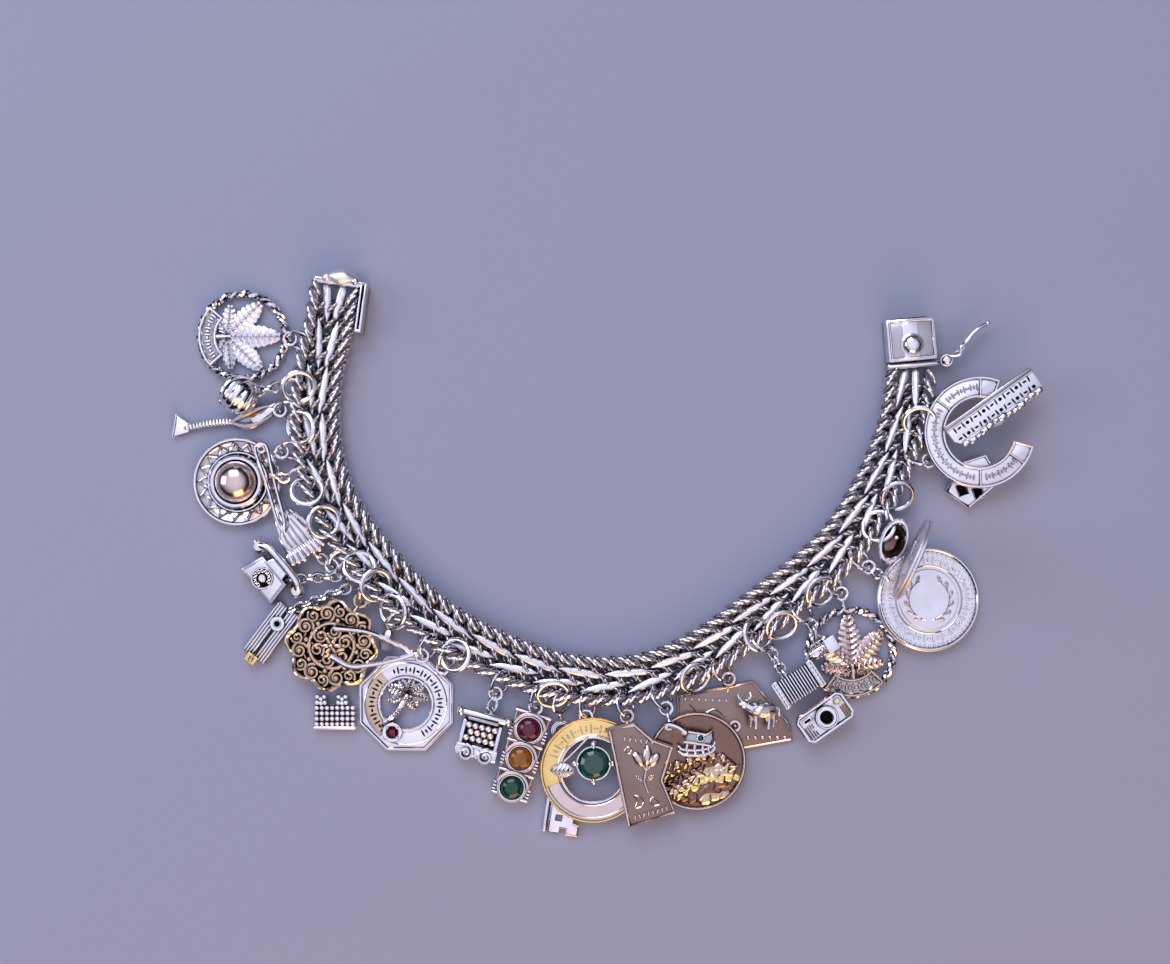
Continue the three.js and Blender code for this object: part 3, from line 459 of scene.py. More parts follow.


# Each finish is named for how the metal was left by its maker and its years of wear, and for the
# painted reflections and painted shade that some of them carry; in every metal the darkening of
# recesses is oxide and painted shade.
FINISHES = {
    # Tumble-polished sterling silver: mirror-like, with fine wear scratches.
    "polished": lambda m: silver("polished_silver", m.polished, m.oxide, 0.12),
    # Bright wire and castings that took little oxide: rings, the hands, the medal's marks.
    "rings": lambda m: silver("bright_wire_silver", m.polished, rgb("4c4a50"), 0.1, recess=0.6),
    # Drawn wire links: polished on their crowns, black between the wires from oxide and painted
    # shade.
    "drawn": lambda m: silver("drawn_wire_silver", m.polished, m.oxide, 0.13, recess=0.8,
                              depth=(0.42, 0.8)),
    # Acid-frosted silver: white and satin, with soft highlights.
    "frosted": lambda m: silver("frosted_silver", m.frosted, rgb("3d3c44"), 0.4, recess=0.45,
                                depth=(0.25, 0.8), grain=0.12, relief=0.35),
    # Liver-of-sulphur oxidised silver, rubbed back on its high points; on the sunk links under the
    # chain and on the ridge bar's back bar its dark tone is painted shade.
    "oxidised": lambda m: silver("oxidised_silver", m.oxidised, m.oxide, 0.2, recess=1.0,
                                 depth=(0.4, 0.9), relief=0.2),
    # Oxide left whole in a sunk ground; on the sheets under the rosette and the window frame the
    # same black is painted shadow, and on the telephone's dial a painted dark reflection.
    "ground": lambda m: silver("oxide_ground_and_painted_shadow", m.oxide, m.oxide, 0.45, relief=0.4),
    # Old silver with a brown tarnish under a satin rub; on the blossom plate the brown is a painted
    # reflection.
    "tarnished": lambda m: silver("tarnished_and_brown_reflection_silver", m.tarnished, rgb("1d1512"), 0.34,
                                  recess=0.5, grain=0.18, relief=0.3),
    # Brown bronze-like patina, still glossy; in the bell's throat the brown is a painted reflection
    # and painted shade.
    "bronzed": lambda m: silver("bronzed_and_brown_reflection_silver", m.bronzed, rgb("160d09"), 0.2, recess=0.9,
                                depth=(0.3, 0.85)),
    # Aged rose gilding: bright on its crowns, nearly black in its hollows from oxide and painted
    # shade; the arc on the octagon's left side is a painted warm reflection.
    "aged_gold": lambda m: silver("aged_rose_gold_and_warm_reflection", m.aged_gold, rgb("150c07"), 0.16,
                                  recess=0.9, depth=(0.36, 0.85)),
    # Pinkish polished silver; on the sombrero's crown and the birthstone ring its pink is a painted
    # warm reflection.
    "rosy": lambda m: silver("rosy_silver", m.rosy, rgb("231814"), 0.2, recess=0.55),
    # Yellow gilding, polished; on the birthstone ring's upper left it is a painted warm reflection.
    "gilt": lambda m: silver("gilt_and_warm_reflection_silver", m.gilt, rgb("4a2c0c"), 0.2, recess=0.4),
    # Flat links: satin, with fine lines engraved across them.
    "hatched": lambda m: hatched_silver("engraved_silver", m.polished, m.oxide),
    # Cut glass: deep and even in colour, with sharp highlights on its facets.
    "ruby": lambda m: stone("ruby_red_glass", m.ruby),
    "amber": lambda m: stone("amber_glass", m.amber),
    "emerald": lambda m: stone("emerald_glass", m.emerald),
    # A harder stone that bends light more than glass, so that its table mirrors more.
    "big_emerald": lambda m: stone("emerald_green_stone", m.emerald, 1.7),
    # Clear crystal, pale and slightly blue.
    "crystal": lambda m: stone("clear_crystal", rgb("aab0c4")),
}
made_finishes = {}


def finish(name):
    """The material of a finish, made once."""
    if name not in made_finishes:
        made_finishes[name] = FINISHES[name](bpy.context.scene.bracelet_finish)
    return made_finishes[name]


# ---------------------------------------------------------------------------- pieces
def solid(name, forms, sharp=35.0):
    """One mesh object of several forms, in place, shaded smooth up to a sharp edge."""
    points, faces, wears, uvs = [], [], [], []
    names = list(dict.fromkeys(form.finish for form in forms))
    count = 0
    for form in forms:
        points.append(form.points * MM)
        faces += [[count + i for i in face] for face in form.faces]
        wears += [names.index(form.finish)] * len(form.faces)
        uvs.append(form.uv if form.uv is not None else np.zeros((len(form.points), 2)))
        count += len(form.points)
    mesh = bpy.data.meshes.new(name)
    mesh.from_pydata(np.vstack(points).tolist(), [], faces)
    mesh.polygons.foreach_set("material_index", wears)
    for wear in names:
        mesh.materials.append(finish(wear))
    if any(form.uv is not None for form in forms):
        chart = mesh.uv_layers.new(name="along")
        at_points = np.vstack(uvs)
        corners = [at_points[loop.vertex_index] for loop in mesh.loops]
        chart.data.foreach_set("uv", np.array(corners, float).ravel())
    work = bmesh.new()
    work.from_mesh(mesh)
    bmesh.ops.recalc_face_normals(work, faces=work.faces)
    work.to_mesh(mesh)
    work.free()
    mesh.shade_smooth()
    mesh.set_sharp_from_angle(angle=math.radians(sharp))
    piece = bpy.data.objects.new(name, mesh)
    bpy.context.collection.objects.link(piece)
    return piece


def finish_piece(piece, slot, *nodes, body=BODY):
    """Hides the frame's parts that a piece stands for and puts the piece on the body that it rides
    on; slot is not used.
    """
    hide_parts(*nodes)
    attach(piece, body)


SLOT_OF = {part["node"]: part["material_slot"] for part in frame["record"]["subparts"]}


# ---------------------------------------------------------------------------- the chain
CHAIN_HEIGHT = 2.1
# Middle line of the chain, from the clasp's tongue round to its box.
CHAIN_ROUTE = [
    (-47.5, 45.6), (-48.6, 38.7), (-50.2, 31.7), (-50.9, 24.7), (-50.5, 18.2),
    (-48.8, 11.4), (-45.6, 4.9), (-41.2, -1.0), (-36.2, -6.6), (-30.3, -11.8),
    (-23.6, -16.0), (-16.0, -19.4), (-8.4, -21.8), (-1.0, -22.6), (6.0, -22.1),
    (12.8, -19.8), (19.2, -16.2), (26.6, -10.8), (33.6, -5.4), (40.6, 1.0),
    (46.2, 9.4), (50.0, 17.4), (52.2, 24.4), (53.0, 30.7),
]
MIDDLE = curve_through([np.array([x, y, CHAIN_HEIGHT]) for x, y in CHAIN_ROUTE], 18)
MIDDLE_AHEAD = frames_along(MIDDLE, False)[0]
# How far the middles of the rope strands, the flat links and the dark links lie from the
# chain's middle line, and how far the ropes are raised and the dark links sunk.
STRAND_OFFSET = 3.4
FLAT_OFFSET = 1.15
DARK_OFFSETS = (-2.0, 0.0, 2.0)
STRAND_RISE = 0.3
DARK_DROP = 0.5
# Angles of the links, in degrees.
FLAT_LAP = 4
ROPE_LEAN = 56
DARK_LEAN = 50
DARK_TURN = 97
# Jump rings: size, thickness for carrying and for soldered rings, tilt in degrees, and reach
# from the strand's middle to a charm's bail.
RING_RADIUS = 2.15
RING_WIRE = 0.28
CARRIER_WIRE = RING_WIRE * 1.25
SOLDERED_WIRE = RING_WIRE * 1.2
RING_TILT = 50.0
RING_REACH = 3.0
SPARE_SIZE = (1.25, 1.25, 1.1)
BAIL_RADIUS = 1.1
# A gap from here on is bridged by small links, each about so long.
NECK_GAP = 2.4
NECK_LINK = 1.45


def beside(offset):
    """The route at an offset from the middle line; positive is inside the curve."""
    across = np.stack([-MIDDLE_AHEAD[:, 1], MIDDLE_AHEAD[:, 0], np.zeros(len(MIDDLE))], 1)
    return MIDDLE + across * offset


def ring_frame(hang):
    """Where a jump ring near a point hangs on the outer strand: its bail and its matrix."""
    strand = beside(-STRAND_OFFSET)
    nearest = int(np.argmin(np.linalg.norm(strand - hang, axis=1)))
    start, ahead = Vector(strand[nearest]), Vector(MIDDLE_AHEAD[nearest])
    out = (Vector(hang) - start).normalized()
    bail = start + out * RING_REACH
    rise = Vector((0, 0, math.sin(math.radians(RING_TILT))))
    rise -= ahead * math.cos(math.radians(RING_TILT))
    rise = (rise - out * rise.dot(out)).normalized()
    axis = out.cross(rise)
    centre = bail - out * RING_RADIUS
    matrix = Matrix.Translation(centre) @ Matrix((out, rise, axis)).transposed().to_4x4()
    return np.array(bail), matrix


# ---------------------------------------------------------------------------- where charms lie
class Place:
    """Where a charm lies, and where its bail and its neck meet, in millimetres."""

    def __init__(self, at, turned=0.0, tip=(0.0, 0.0), hang=None, neck=None, soldered=False):
        self.at, self.turned, self.tip = at, turned, tip
        self.hang, self.neck, self.soldered = hang, neck, soldered

    @property
    def matrix(self):
        """From the charm's own frame to the chain route's."""
        lean = Euler((math.radians(self.tip[0]), math.radians(self.tip[1]),
                      math.radians(self.turned)))
        return Matrix.Translation(self.at) @ lean.to_matrix().to_4x4()

    def fittings(self, shine):
        """The bail or soldered ring and its neck, in the chain route's frame."""
        if not self.hang:
            return []
        bail, matrix = ring_frame(self.hang)
        reach = (np.array(self.neck) - bail) / np.linalg.norm(np.array(self.neck) - bail)
        if self.soldered:
            start = bail
            parts = [hoop(RING_RADIUS, SOLDERED_WIRE, 28).by(matrix)]
        else:
            start = bail + reach * BAIL_RADIUS
            parts = [hoop(BAIL_RADIUS, 0.3, 24).moved(*bail)]
        parts += small_chain(start, np.array(self.neck))
        return [part.of(shine) for part in parts]


def small_chain(start, end):
    """Small oval links from one point to another, each turned from the last; or a short neck."""
    gap = end - start
    length = float(np.linalg.norm(gap))
    if length < NECK_GAP:
        return [tube([start, (start + end) / 2, end], [0.34, 0.27, 0.42], 10)]
    count = round(length / NECK_LINK)
    ahead = Vector(gap).normalized()
    side = Vector((0, 0, 1)).cross(ahead).normalized()
    basis = Matrix((ahead, side, ahead.cross(side))).transposed().to_4x4()
    link = hoop(1.0, 0.32, 20).scaled(length / count / 2 + 0.3, 0.8, 1)
    return [link.turned(70 if i % 2 else -15, "X")
            .by(Matrix.Translation(start + gap * (i + 0.5) / count) @ basis) for i in range(count)]


def strokes(radius, start, end, count, z, high, shine):
    """Plain raised marks round an arc: bars across it, bars along it, and dots."""
    sizes = ((0.5 * high, 0.18), (0.2, 0.26 * high), (0.48 * high, 0.17), (0.3 * high, 0.2))
    return [ball(1, 8).scaled(*sizes[i * 7 % 4], 0.24).turned(angle)
            .moved(*spot(radius, angle), z).of(shine)
            for i, angle in enumerate(np.linspace(start, end, count))]


PLACES = {
    "leaf_disc_left": Place((-63.8, 37.6, 0.2), hang=(-55.0, 37.0, 1.5), neck=(-56.4, 36.9, 0.9)),
    "ribbed_ball": Place((-63.8, 27.2, 4.3), 20, hang=(-56.6, 28.8, 2.4),
                         neck=(-61.0, 27.8, 4.0), soldered=True),
    "twisted_stem": Place((-65.1, 22.5, 0.2), 6, hang=(-56.6, 24.6, 1.6), neck=(-58.8, 24.7, 0.9)),
    "sombrero": Place((-64.7, 12.1, 0.1), hang=(-56.6, 17.4, 1.8), neck=(-59.6, 15.8, 1.4)),
    "long_loop": Place((-58.1, 11.15, 4.0), 15.5, hang=(-55.6, 12.6, 3.2), neck=(-57.9, 13.4, 4.3),
                       soldered=True),
    "folded_hands": Place((-54.8, 3.6, 0.2), 34, hang=(-47.8, -2.4, 1.8), neck=(-51.6, 0.2, 1.6)),
    "telephone": Place((-59.5, -4.7, 0.2), -50, hang=(-46.6, -4.4, 2.2), neck=(-55.6, -4.8, 2.2),
                       soldered=True),
    "groove_bars": Place((-58.8, -14.3, 0.1), -37, hang=(-45.0, -6.4, 1.9),
                         neck=(-55.8, -10.6, 1.0), soldered=True),
    "filigree_rosette": Place((-47.9, -16.4, 2.6), tip=(0, 1.5), hang=(-42.8, -8.6, 2.6),
                              neck=(-43.9, -10.4, 3.0)),
    "wishbone": Place((-33.6, -17.9, 2.8), hang=(-32.1, -18.1, 2.4), neck=(-33.4, -17.9, 2.8)),
    "crystal_drop": Place((-38.5, -15.7, 0.3), -12, hang=(-37.2, -12.8, 1.7),
                          neck=(-38.0, -14.2, 1.5), soldered=True),
    "beaded_keep": Place((-47.6, -28.2, 0.1)),
    "octagon_palm": Place((-35.2, -26.8, 0.1), hang=(-28.4, -20.0, 1.6), neck=(-30.4, -21.8, 0.7)),
    "typewriter": Place((-22.2, -32.6, 0.1), -14, hang=(-19.4, -24.9, 2.0),
                        neck=(-20.8, -29.4, 2.2)),
    "signal_light": Place((-14.9, -35.6, 0.1), -16.5, hang=(-12.4, -27.4, 2.0),
                          neck=(-13.0, -29.4, 1.8)),
    "flat_key": Place((-7.9, -31.6, 0.1), -9, hang=(-8.2, -28.0, 1.7), neck=(-8.0, -30.0, 0.8),
                      soldered=True),
    "birthstone_ring": Place((-2.4, -38.2, 1.6), hang=(-3.6, -28.8, 2.4), neck=(-3.4, -30.4, 2.2)),
    "blossom_plate": Place((6.2, -39.2, 3.4), hang=(3.4, -27.8, 2.8), neck=(3.6, -30.8, 3.8)),
    "medallion": Place((15.7, -36.6, 1.6)),
    "sleigh": Place((14.8, -32.4, 3.6), hang=(10.2, -27.0, 3.2), neck=(11.0, -30.0, 4.4)),
    "dotted_plate": Place((22.2, -29.2, 0.1), hang=(20.8, -21.6, 1.8), neck=(21.2, -24.6, 0.6)),
    "horned_animal": Place((26.9, -27.6, 1.5)),
    "squeezebox": Place((33.2, -23.0, 1.7), 33, hang=(28.2, -16.8, 2.6), neck=(31.2, -22.2, 2.6),
                        soldered=True),
    "engine": Place((37.6, -16.8, 1.8), 30, hang=(34.6, -11.2, 2.4), neck=(36.8, -16.2, 2.6),
                    soldered=True),
    "camera": Place((37.9, -28.8, 1.7), 35),
    "leaf_disc_right": Place((42.8, -17.8, 0.2), 96, hang=(41.6, -7.9, 1.4),
                             neck=(41.8, -10.4, 0.9)),
    "bell": Place((49.6, 1.8, 0.2), -20),
    "coin_on_edge": Place((51.9, -1.1, 9.9), -23.5, (0, 84)),
    "medal": Place((56.2, -8.5, 1.0), tip=(-3.2, 4.7), hang=(47.6, -4.4, 1.8),
                   neck=(49.0, -5.2, 1.9)),
    "horseshoe": Place((64.6, 20.7, 3.5), 27, hang=(56.0, 15.8, 3.2), neck=(57.4, 16.6, 4.0)),
    "ridge_bar": Place((67.0, 24.8, 5.1), 35.5),
    "window_frame": Place((64.1, 12.3, 0.2)),
}


# Rings with nothing on them, that lie over the outer strand: place, turn and tip.
SPARE_RINGS = [
    Place((-53.6, 28.6, 3.3), 20, (24, 10)), Place((-53.3, 21.6, 3.4), -30, (18, -20)),
    Place((-52.2, 10.6, 3.2), 10, (-26, 12)), Place((-49.2, 5.2, 3.4), 40, (22, 16)),
    Place((-43.0, -2.6, 3.4), 15, (-20, 22)), Place((-40.2, -5.9, 3.1), 60, (30, 6)),
    Place((-37.3, -10.2, 3.3), -20, (16, -28)), Place((-26.4, -18.0, 3.4), 30, (-22, -14)),
    Place((-9.4, -24.9, 3.2), 0, (34, 8)), Place((15.4, -22.0, 3.2), 25, (28, 14)),
    Place((26.3, -14.4, 3.4), -15, (-18, 24)), Place((30.4, -12.9, 3.2), 45, (30, -10)),
    Place((37.2, -7.0, 3.3), 10, (26, 20)), Place((47.2, 4.4, 3.3), 70, (-24, 12)),
    Place((50.6, 9.6, 3.2), -35, (20, 24)), Place((54.4, 22.6, 3.2), 20, (26, -18)),
]


def build_charm(name, forms, shine="polished"):
    """Puts a charm's forms in their place with their bail, and hands the piece to the frame."""
    place = PLACES[name]
    there = [form.by(place.matrix) for form in forms] + place.fittings(shine)
    piece = solid(name + "_charm", [form.moved(*ORIGIN) for form in there])
    finish_piece(piece, SLOT_OF[name], name)


def build_charms(*makers, shine="polished"):
    """Builds charms that bear their makers' names."""
    for maker in makers:
        build_charm(maker.__name__, maker(), shine)


# ---------------------------------------------------------------------------- left side
def leaf_disc(leaf, band="frosted"):
    """Open disc: twisted border, lobed leaf, and a framed band of marks at its stalk."""
    forms = twisted_ring(7.45, 0.4, 13)
    forms.append(plate(arched(7.7, 4.75, 138, 222), 0.8, 0.15).of("oxidised"))
    corners = [spot(r, a) for r, a in ((4.85, 139), (7.4, 139), (4.85, 221), (7.4, 221))]
    rails = [arc(7.5, 139, 221, 24), arc(4.85, 139, 221, 24), corners[:2], corners[2:]]
    forms += [tube(raised(rail, 1.0), 0.28).of(band) for rail in rails]
    forms += strokes(6.15, 145, 215, 14, 1.0, 1.7, band)
    lobes = ((0, 9.3, 2.0, 9), (44, 8.2, 1.85, 8), (-44, 8.2, 1.85, 8), (84, 5.5, 1.3, 6),
             (-84, 5.7, 1.3, 6), (114, 3.6, 1.0, 4), (-114, 3.6, 1.0, 4))
    for angle, length, width, ribs in lobes:
        forms.append(feather(length, width, ribs, ridge=0.4, finish=leaf).turned(angle)
                     .moved(-2.7, 0, 0.2))
    forms.append(tube([(-2.2, 0, 0.95), (-4.9, 0, 0.8)], 0.38).of(leaf))
    return [form.moved(0, 0, 0.25) for form in forms]


def ribbed_ball():
    """Ball of broad curved ribs wound from cap to cap, with dark grooves between them."""
    def ribs(angle, _radius, height):
        return 1 - 0.13 * abs(math.cos(4.5 * (angle + 0.2 * height))) ** 9

    caps = [ball(0.9, 12).scaled(0.7, 1, 1).moved(side * 3.2) for side in (-1, 1)]
    return [ball(3.4, 108, ribs).turned(90, "Y"), *caps]


def twisted_stem():
    """Twisted square stem between a small paddle and a pointed blade."""
    spine = curve_through([(-8.6, 0, 0.75), (-4, 0.3, 0.9), (0.4, 0.2, 0.8)], 40)
    paddle = [(-11.2, -1.3), (-8.3, -0.8), (-8.2, 0.7), (-10.2, 2.4)]
    blade = [(-0.6, -0.7), (3.6, -1.3), (8.0, 1.5), (7.4, 2.7), (2.4, 1.2), (-0.6, 0.7)]
    facet = [(3.4, -0.9), (7.3, 1.5), (6.4, 1.9), (2.8, 0.4)]
    wings = [wire([(-0.8, 0, 0.9), (2.4, side * 1.2 + 0.3, 1.2), (6.4, side * 0.9 + 1.4, 0.9)],
                  (0.5, 0.7, 0.3)).of("oxidised") for side in (-1, 1)]
    return [tube(spine, 0.62, 4, twist=1500), plate(paddle, 0.6, 0.35).of("frosted"),
            tube(raised([paddle[0], (-10.6, 0.6), paddle[3]], 0.9), 0.22),
            plate(blade, 1.0, 0.2).of("oxidised"), plate(facet, 0.5, 1.1), *wings]


def sombrero():
    """Wide hat: a zigzag round its brim, rolled rims, a corded band, a mirror-bright dome."""
    brim = lathe([(0, 0), (5.2, 0), (7.0, 0.6), (7.6, 1.45), (7.3, 1.6), (6.8, 1.2), (5.3, 0.75),
                  (4.6, 0.7), (0, 0.7)], 72)
    # The crown's pink tone is a painted warm reflection on polished silver.
    crown = lathe([(0, 0.5), (4.3, 0.6), (4.1, 2.1), (3.7, 2.3), (3.62, 2.9), (3.35, 3.6),
                   (2.75, 4.6), (1.85, 5.25), (0.8, 5.5), (0, 5.52)], 64).of("rosy")
    teeth = []
    for i in range(17):
        for step, radius in ((0, 5.45), (0.5, 6.75)):
            x, y = spot(radius, (i + step) * 360 / 17)
            teeth.append((x, y, 0.88 + (radius - 5.3) * 0.3))
    forms = [brim, crown, hoop(7.4, 0.38, 72).moved(0, 0, 1.5),
             tube(teeth, 0.34, 6, True), hoop(5.15, 0.26, 60).moved(0, 0, 0.9),
             hoop(4.15, 0.55, 60).moved(0, 0, 2.2)]
    forms += [tube(raised(arc(4.75, a, a + 12, 4), 1.2), 0.26, 6).of("ground")
              for a in range(0, 360, 24)]
    return forms


def long_loop():
    """Slim needle-like loop with a wide eye."""
    half = [(0, 7.9, 0.4), (0.85, 7.5, 0.4), (1.05, 6.6, 0.4), (0.9, 4.0, 0.4), (0.7, 0, 0.4),
            (0.5, -6.6, 0.4), (0, -7.9, 0.4)]
    loop = half + [(-x, y, z) for x, y, z in half[-2:0:-1]] + half[:1]
    path = curve_through(loop, 8)[:-1]
    return [tube(path, 0.34, 8, True), hoop(0.55, 0.2, 20).moved(0, 6.9, 0.4)]


def folded_hands():
    """Two hands pressed together, fingertips along +Y, above flared cuffs."""
    palm = plate([(-2.8, -3.2), (2.8, -3.2), (2.6, 1.2), (0.8, 5.1), (-0.5, 5.1), (-2.6, 1.2)],
                 2.5, 0.1, edge=0.7)
    forms = [palm]
    forms.append(ball(1, 28).scaled(2.5, 4.4, 1.0).moved(-0.1, 0.2, 1.75))
    for i, x in enumerate((-1.95, -1.05, -0.15, 0.75, 1.65)):
        tip = 0.12 + x * 0.3
        forms.append(wire([(x * 1.1, -3.0, 2.2), (x * 1.12, -0.8, 2.75), (x * 0.8, 2.2, 2.6),
                           (tip, 5.2 - 0.25 * abs(i - 2), 1.8)], (0.6, 0.66, 0.58, 0.36)))
    forms.append(wire([(-2.5, -2.4, 2.2), (-2.1, -0.2, 2.9), (-1.1, 1.4, 3.1)], (0.62, 0.6, 0.34)))
    forms.append(wire([(2.6, -2.4, 1.8), (2.5, 0.6, 1.9), (1.5, 3.3, 1.6)], (0.6, 0.5, 0.36)))
    cuff = [(-3.7, -4.9), (-1.4, -5.4), (1.2, -5.1), (3.7, -4.6), (3.5, -2.6), (1.2, -2.3),
            (-2.2, -2.4), (-3.6, -3.1)]
    forms.append(plate(cuff, 2.5, 0.1, edge=0.5))
    for i in range(7):
        x = -3.1 + i * 1.03
        forms.append(wire([(x, -4.8 - 0.25 * (i % 3), 2.45), (x * 0.9, -3.8, 2.8),
                           (x * 0.82, -2.7, 2.6)], (0.55, 0.45, 0.3), 4))
    return [form.of("rings") for form in forms]


def telephone():
    """Dial telephone on its back: sloping body, dial, cradle and curved handset."""
    body = [(-4.2, -2.3), (4.2, -2.3), (3.3, 2.2), (-3.3, 2.2)]
    forms = [plate(body, 2.9, 0.1, edge=0.5).of("oxidised"),
             plate([(x * 0.82, y * 0.8) for x, y in body], 0.4, 2.8),
             plate([(x * 1.04, -1.7 + y * 0.2) for x, y in body], 0.9, 0, edge=0.3)]
    # The black of the dial's face is a painted dark reflection.
    forms += [drum(1.95, 0.4, 3.0).moved(-0.3, -0.3).of("ground"),
              hoop(1.8, 0.2).moved(-0.3, -0.3, 3.35), drum(0.7, 0.5, 3.1, 20).moved(-0.3, -0.3)]
    for i in range(10):
        x, y = spot(1.28, 30 * i + 20)
        forms.append(hoop(0.24, 0.1, 12, 6).moved(x - 0.3, y - 0.3, 3.5))
    forms.append(plate([(-2.2, 1.8), (2.2, 1.8), (1.8, 3.3), (-1.8, 3.3)], 1.9, 1.0, edge=0.3))
    forms.append(wire([(-5.2, 2.6, 1.6), (-4.4, 3.5, 2.1), (-2.0, 3.9, 2.5), (2.0, 3.9, 2.5),
                       (4.4, 3.5, 2.1), (5.2, 2.6, 1.6)], (0.8, 0.85, 0.8, 0.8, 0.85, 0.8), 8, 12))
    for x in (-5.1, 5.1):
        forms.append(lathe([(0, 0.5), (1.1, 0.5), (1.45, 1.0), (1.3, 1.9), (0.8, 2.4), (0, 2.5)],
                           24).moved(x, 2.6))
    return forms


def groove_bars():
    """Two grooved handle bars on a pivot, with a small gilt buckle at the end."""
    forms = []
    for x in (-1.25, 1.25):
        forms.append(block(2.1, 10.6, 1.3, edge=0.25).moved(x).of("oxidised"))
        for dx in (-0.78, -0.26, 0.26, 0.78):
            forms.append(tube([(x + dx, -5.0, 1.35), (x + dx, 0, 1.45), (x + dx, 5.0, 1.35)], 0.21))
    forms += [drum(1.35, 2.0, 0).moved(0, 2.0), drum(0.55, 0.3, 1.9, 20).moved(0, 2.0).of("ground"),
              hoop(0.6, 0.12, 20).moved(0, 2.0, 2.1)]
    frame_points = [(-1.0, -6.4), (1.0, -6.4), (1.0, -4.8), (-1.0, -4.8)]
    hole = [(x * 0.45, -5.6 + (y + 5.6) * 0.45) for x, y in frame_points]
    forms.append(plate(frame_points, 0.6, 1.5, [hole[::-1]]).of("gilt"))
    forms.append(wire([(0, -6.4, 2.2), (0.1, -5.6, 2.3), (0, -4.8, 2.2)], 0.16).of("gilt"))
    return forms


def scroll(radius, turns, wire_radius, start):
    """A flat spiral of wire that winds in to a quarter of its radius."""
    steps = int(14 * turns) + 2
    t = np.linspace(0, 1, steps)
    angle = math.radians(start) + 2 * math.pi * turns * t
    size = radius * (1 - 0.75 * t)
    return tube(np.stack([size * np.cos(angle), size * np.sin(angle), np.zeros(steps)], 1),
                np.linspace(wire_radius, wire_radius * 0.9, steps), 7)


def filigree_rosette():
    """Round filigree: a wavy rim, scrolls all round an inner ring, and a scrolled heart."""
    lean = np.linspace(0, 2 * math.pi, 200, endpoint=False)
    edge = 7.3 + 0.5 * np.cos(8 * lean + 1.1)
    rim = np.stack([edge * np.cos(lean), edge * np.sin(lean), 0.5 + 0.2 * np.cos(16 * lean)], 1)
    forms = [tube(rim, 0.42, 8, True), hoop(3.9, 0.42, 60).moved(0, 0, 0.7),
             hoop(5.0, 0.3, 60).moved(0, 0, 0.3)]
    for i in range(8):
        turn = 45 * i + 8
        forms.append(scroll(1.4, 1.5, 0.36, 200).moved(5.65, 0, 0.6).turned(turn))
        forms.append(scroll(1.0, 1.3, 0.3, 30).moved(6.1, 0, 0.95).turned(turn + 22.5))
        forms.append(ball(0.5, 10).moved(4.5, 0, 1.0).turned(turn + 22.5))
        forms.append(ball(0.5, 10).moved(5.65, 0, 0.95).turned(turn))
    for i in range(6):
        forms.append(scroll(1.2, 1.4, 0.34, 120 * (i % 2)).moved(2.5, 0, 1.0).turned(60 * i + 15))
    petals = [ball(0.75, 12).scaled(1.3, 0.6, 0.5).moved(1.0, 0, 1.1).turned(60 * i)
              for i in range(6)]
    spokes = [wire([(1.0, 0.1, 0.8), (2.6, 0.7, 0.6), (4.0, 0, 0.6)], 0.24).turned(60 * i - 15)
              for i in range(6)]
    # This thin black sheet under the open filigree is painted shadow in its gaps, where the table
    # would show.
    painted_shadow_sheet = plate([(x * 0.97, y * 0.97) for x, y, _ in rim], 0.2, 0, edge=0.05).of("ground")
    forms += spokes + petals + [ball(0.6, 14).moved(0, 0, 1.2)]
    return [form.of("aged_gold") for form in forms] + [painted_shadow_sheet]


def wishbone():
    """Forked bone with a knob at its joint; its arms reach towards -X."""
    upper = [(0, 0, 0), (-3.4, 2.0, 0.5), (-8.0, 4.0, 1.4), (-13.4, 4.7, 2.0)]
    lower = [(0, 0, 0), (-3.2, -1.0, 0.5), (-7.0, -1.7, 1.4), (-11.0, -1.9, 1.9),
             (-13.9, -0.3, 2.2)]
    return [wire(upper, (0.55, 0.4, 0.42, 0.55), 8), wire(lower, (0.55, 0.4, 0.4, 0.42, 0.6), 8),
            ball(0.75, 14).scaled(1.2, 0.8, 0.8).moved(0.3)]


def crystal_drop():
    """Faceted glass drop in a small fluted cap."""
    drop = lathe([(0, 0), (0.95, 0.5), (1.4, 1.7), (0.7, 3.2), (0, 3.4)], 6)
    cap = lathe([(0, 2.9), (0.85, 3.0), (0.7, 3.8), (0.3, 4.2), (0, 4.2)], 12,
                lambda angle, radius, height: 1 + 0.12 * math.cos(6 * angle))
    return [part.turned(-90, "X").moved(0, -2.1, 1.4) for part in (drop.of("crystal"), cap)]


def beaded_keep():
    """Little keep with two turrets and rows of beads on its wall."""
    forms = [block(6.9, 3.9, 1.2).moved(0, -0.9).of("oxidised"),
             block(7.5, 0.7, 1.7, edge=0.3).moved(0, -2.75)]
    forms += [block(2.0, 2.2, 1.3).moved(x, 1.6).of("oxidised") for x in (-2.4, 1.3)]
    for row in range(4):
        for column in range(8):
            forms.append(ball(0.5, 10).moved(-3.15 + column * 0.9, -2.1 + row * 0.95, 1.35))
    for x in (-2.4, 1.3):
        for dx, y in ((-0.65, 1.7), (0, 2.3), (0.65, 1.7), (0, 1.6), (-0.6, 2.7), (0.6, 2.7)):
            forms.append(ball(0.5, 10).moved(x + dx, y, 1.5))
    return [form if form.finish == "oxidised" else form.of("frosted") for form in forms]


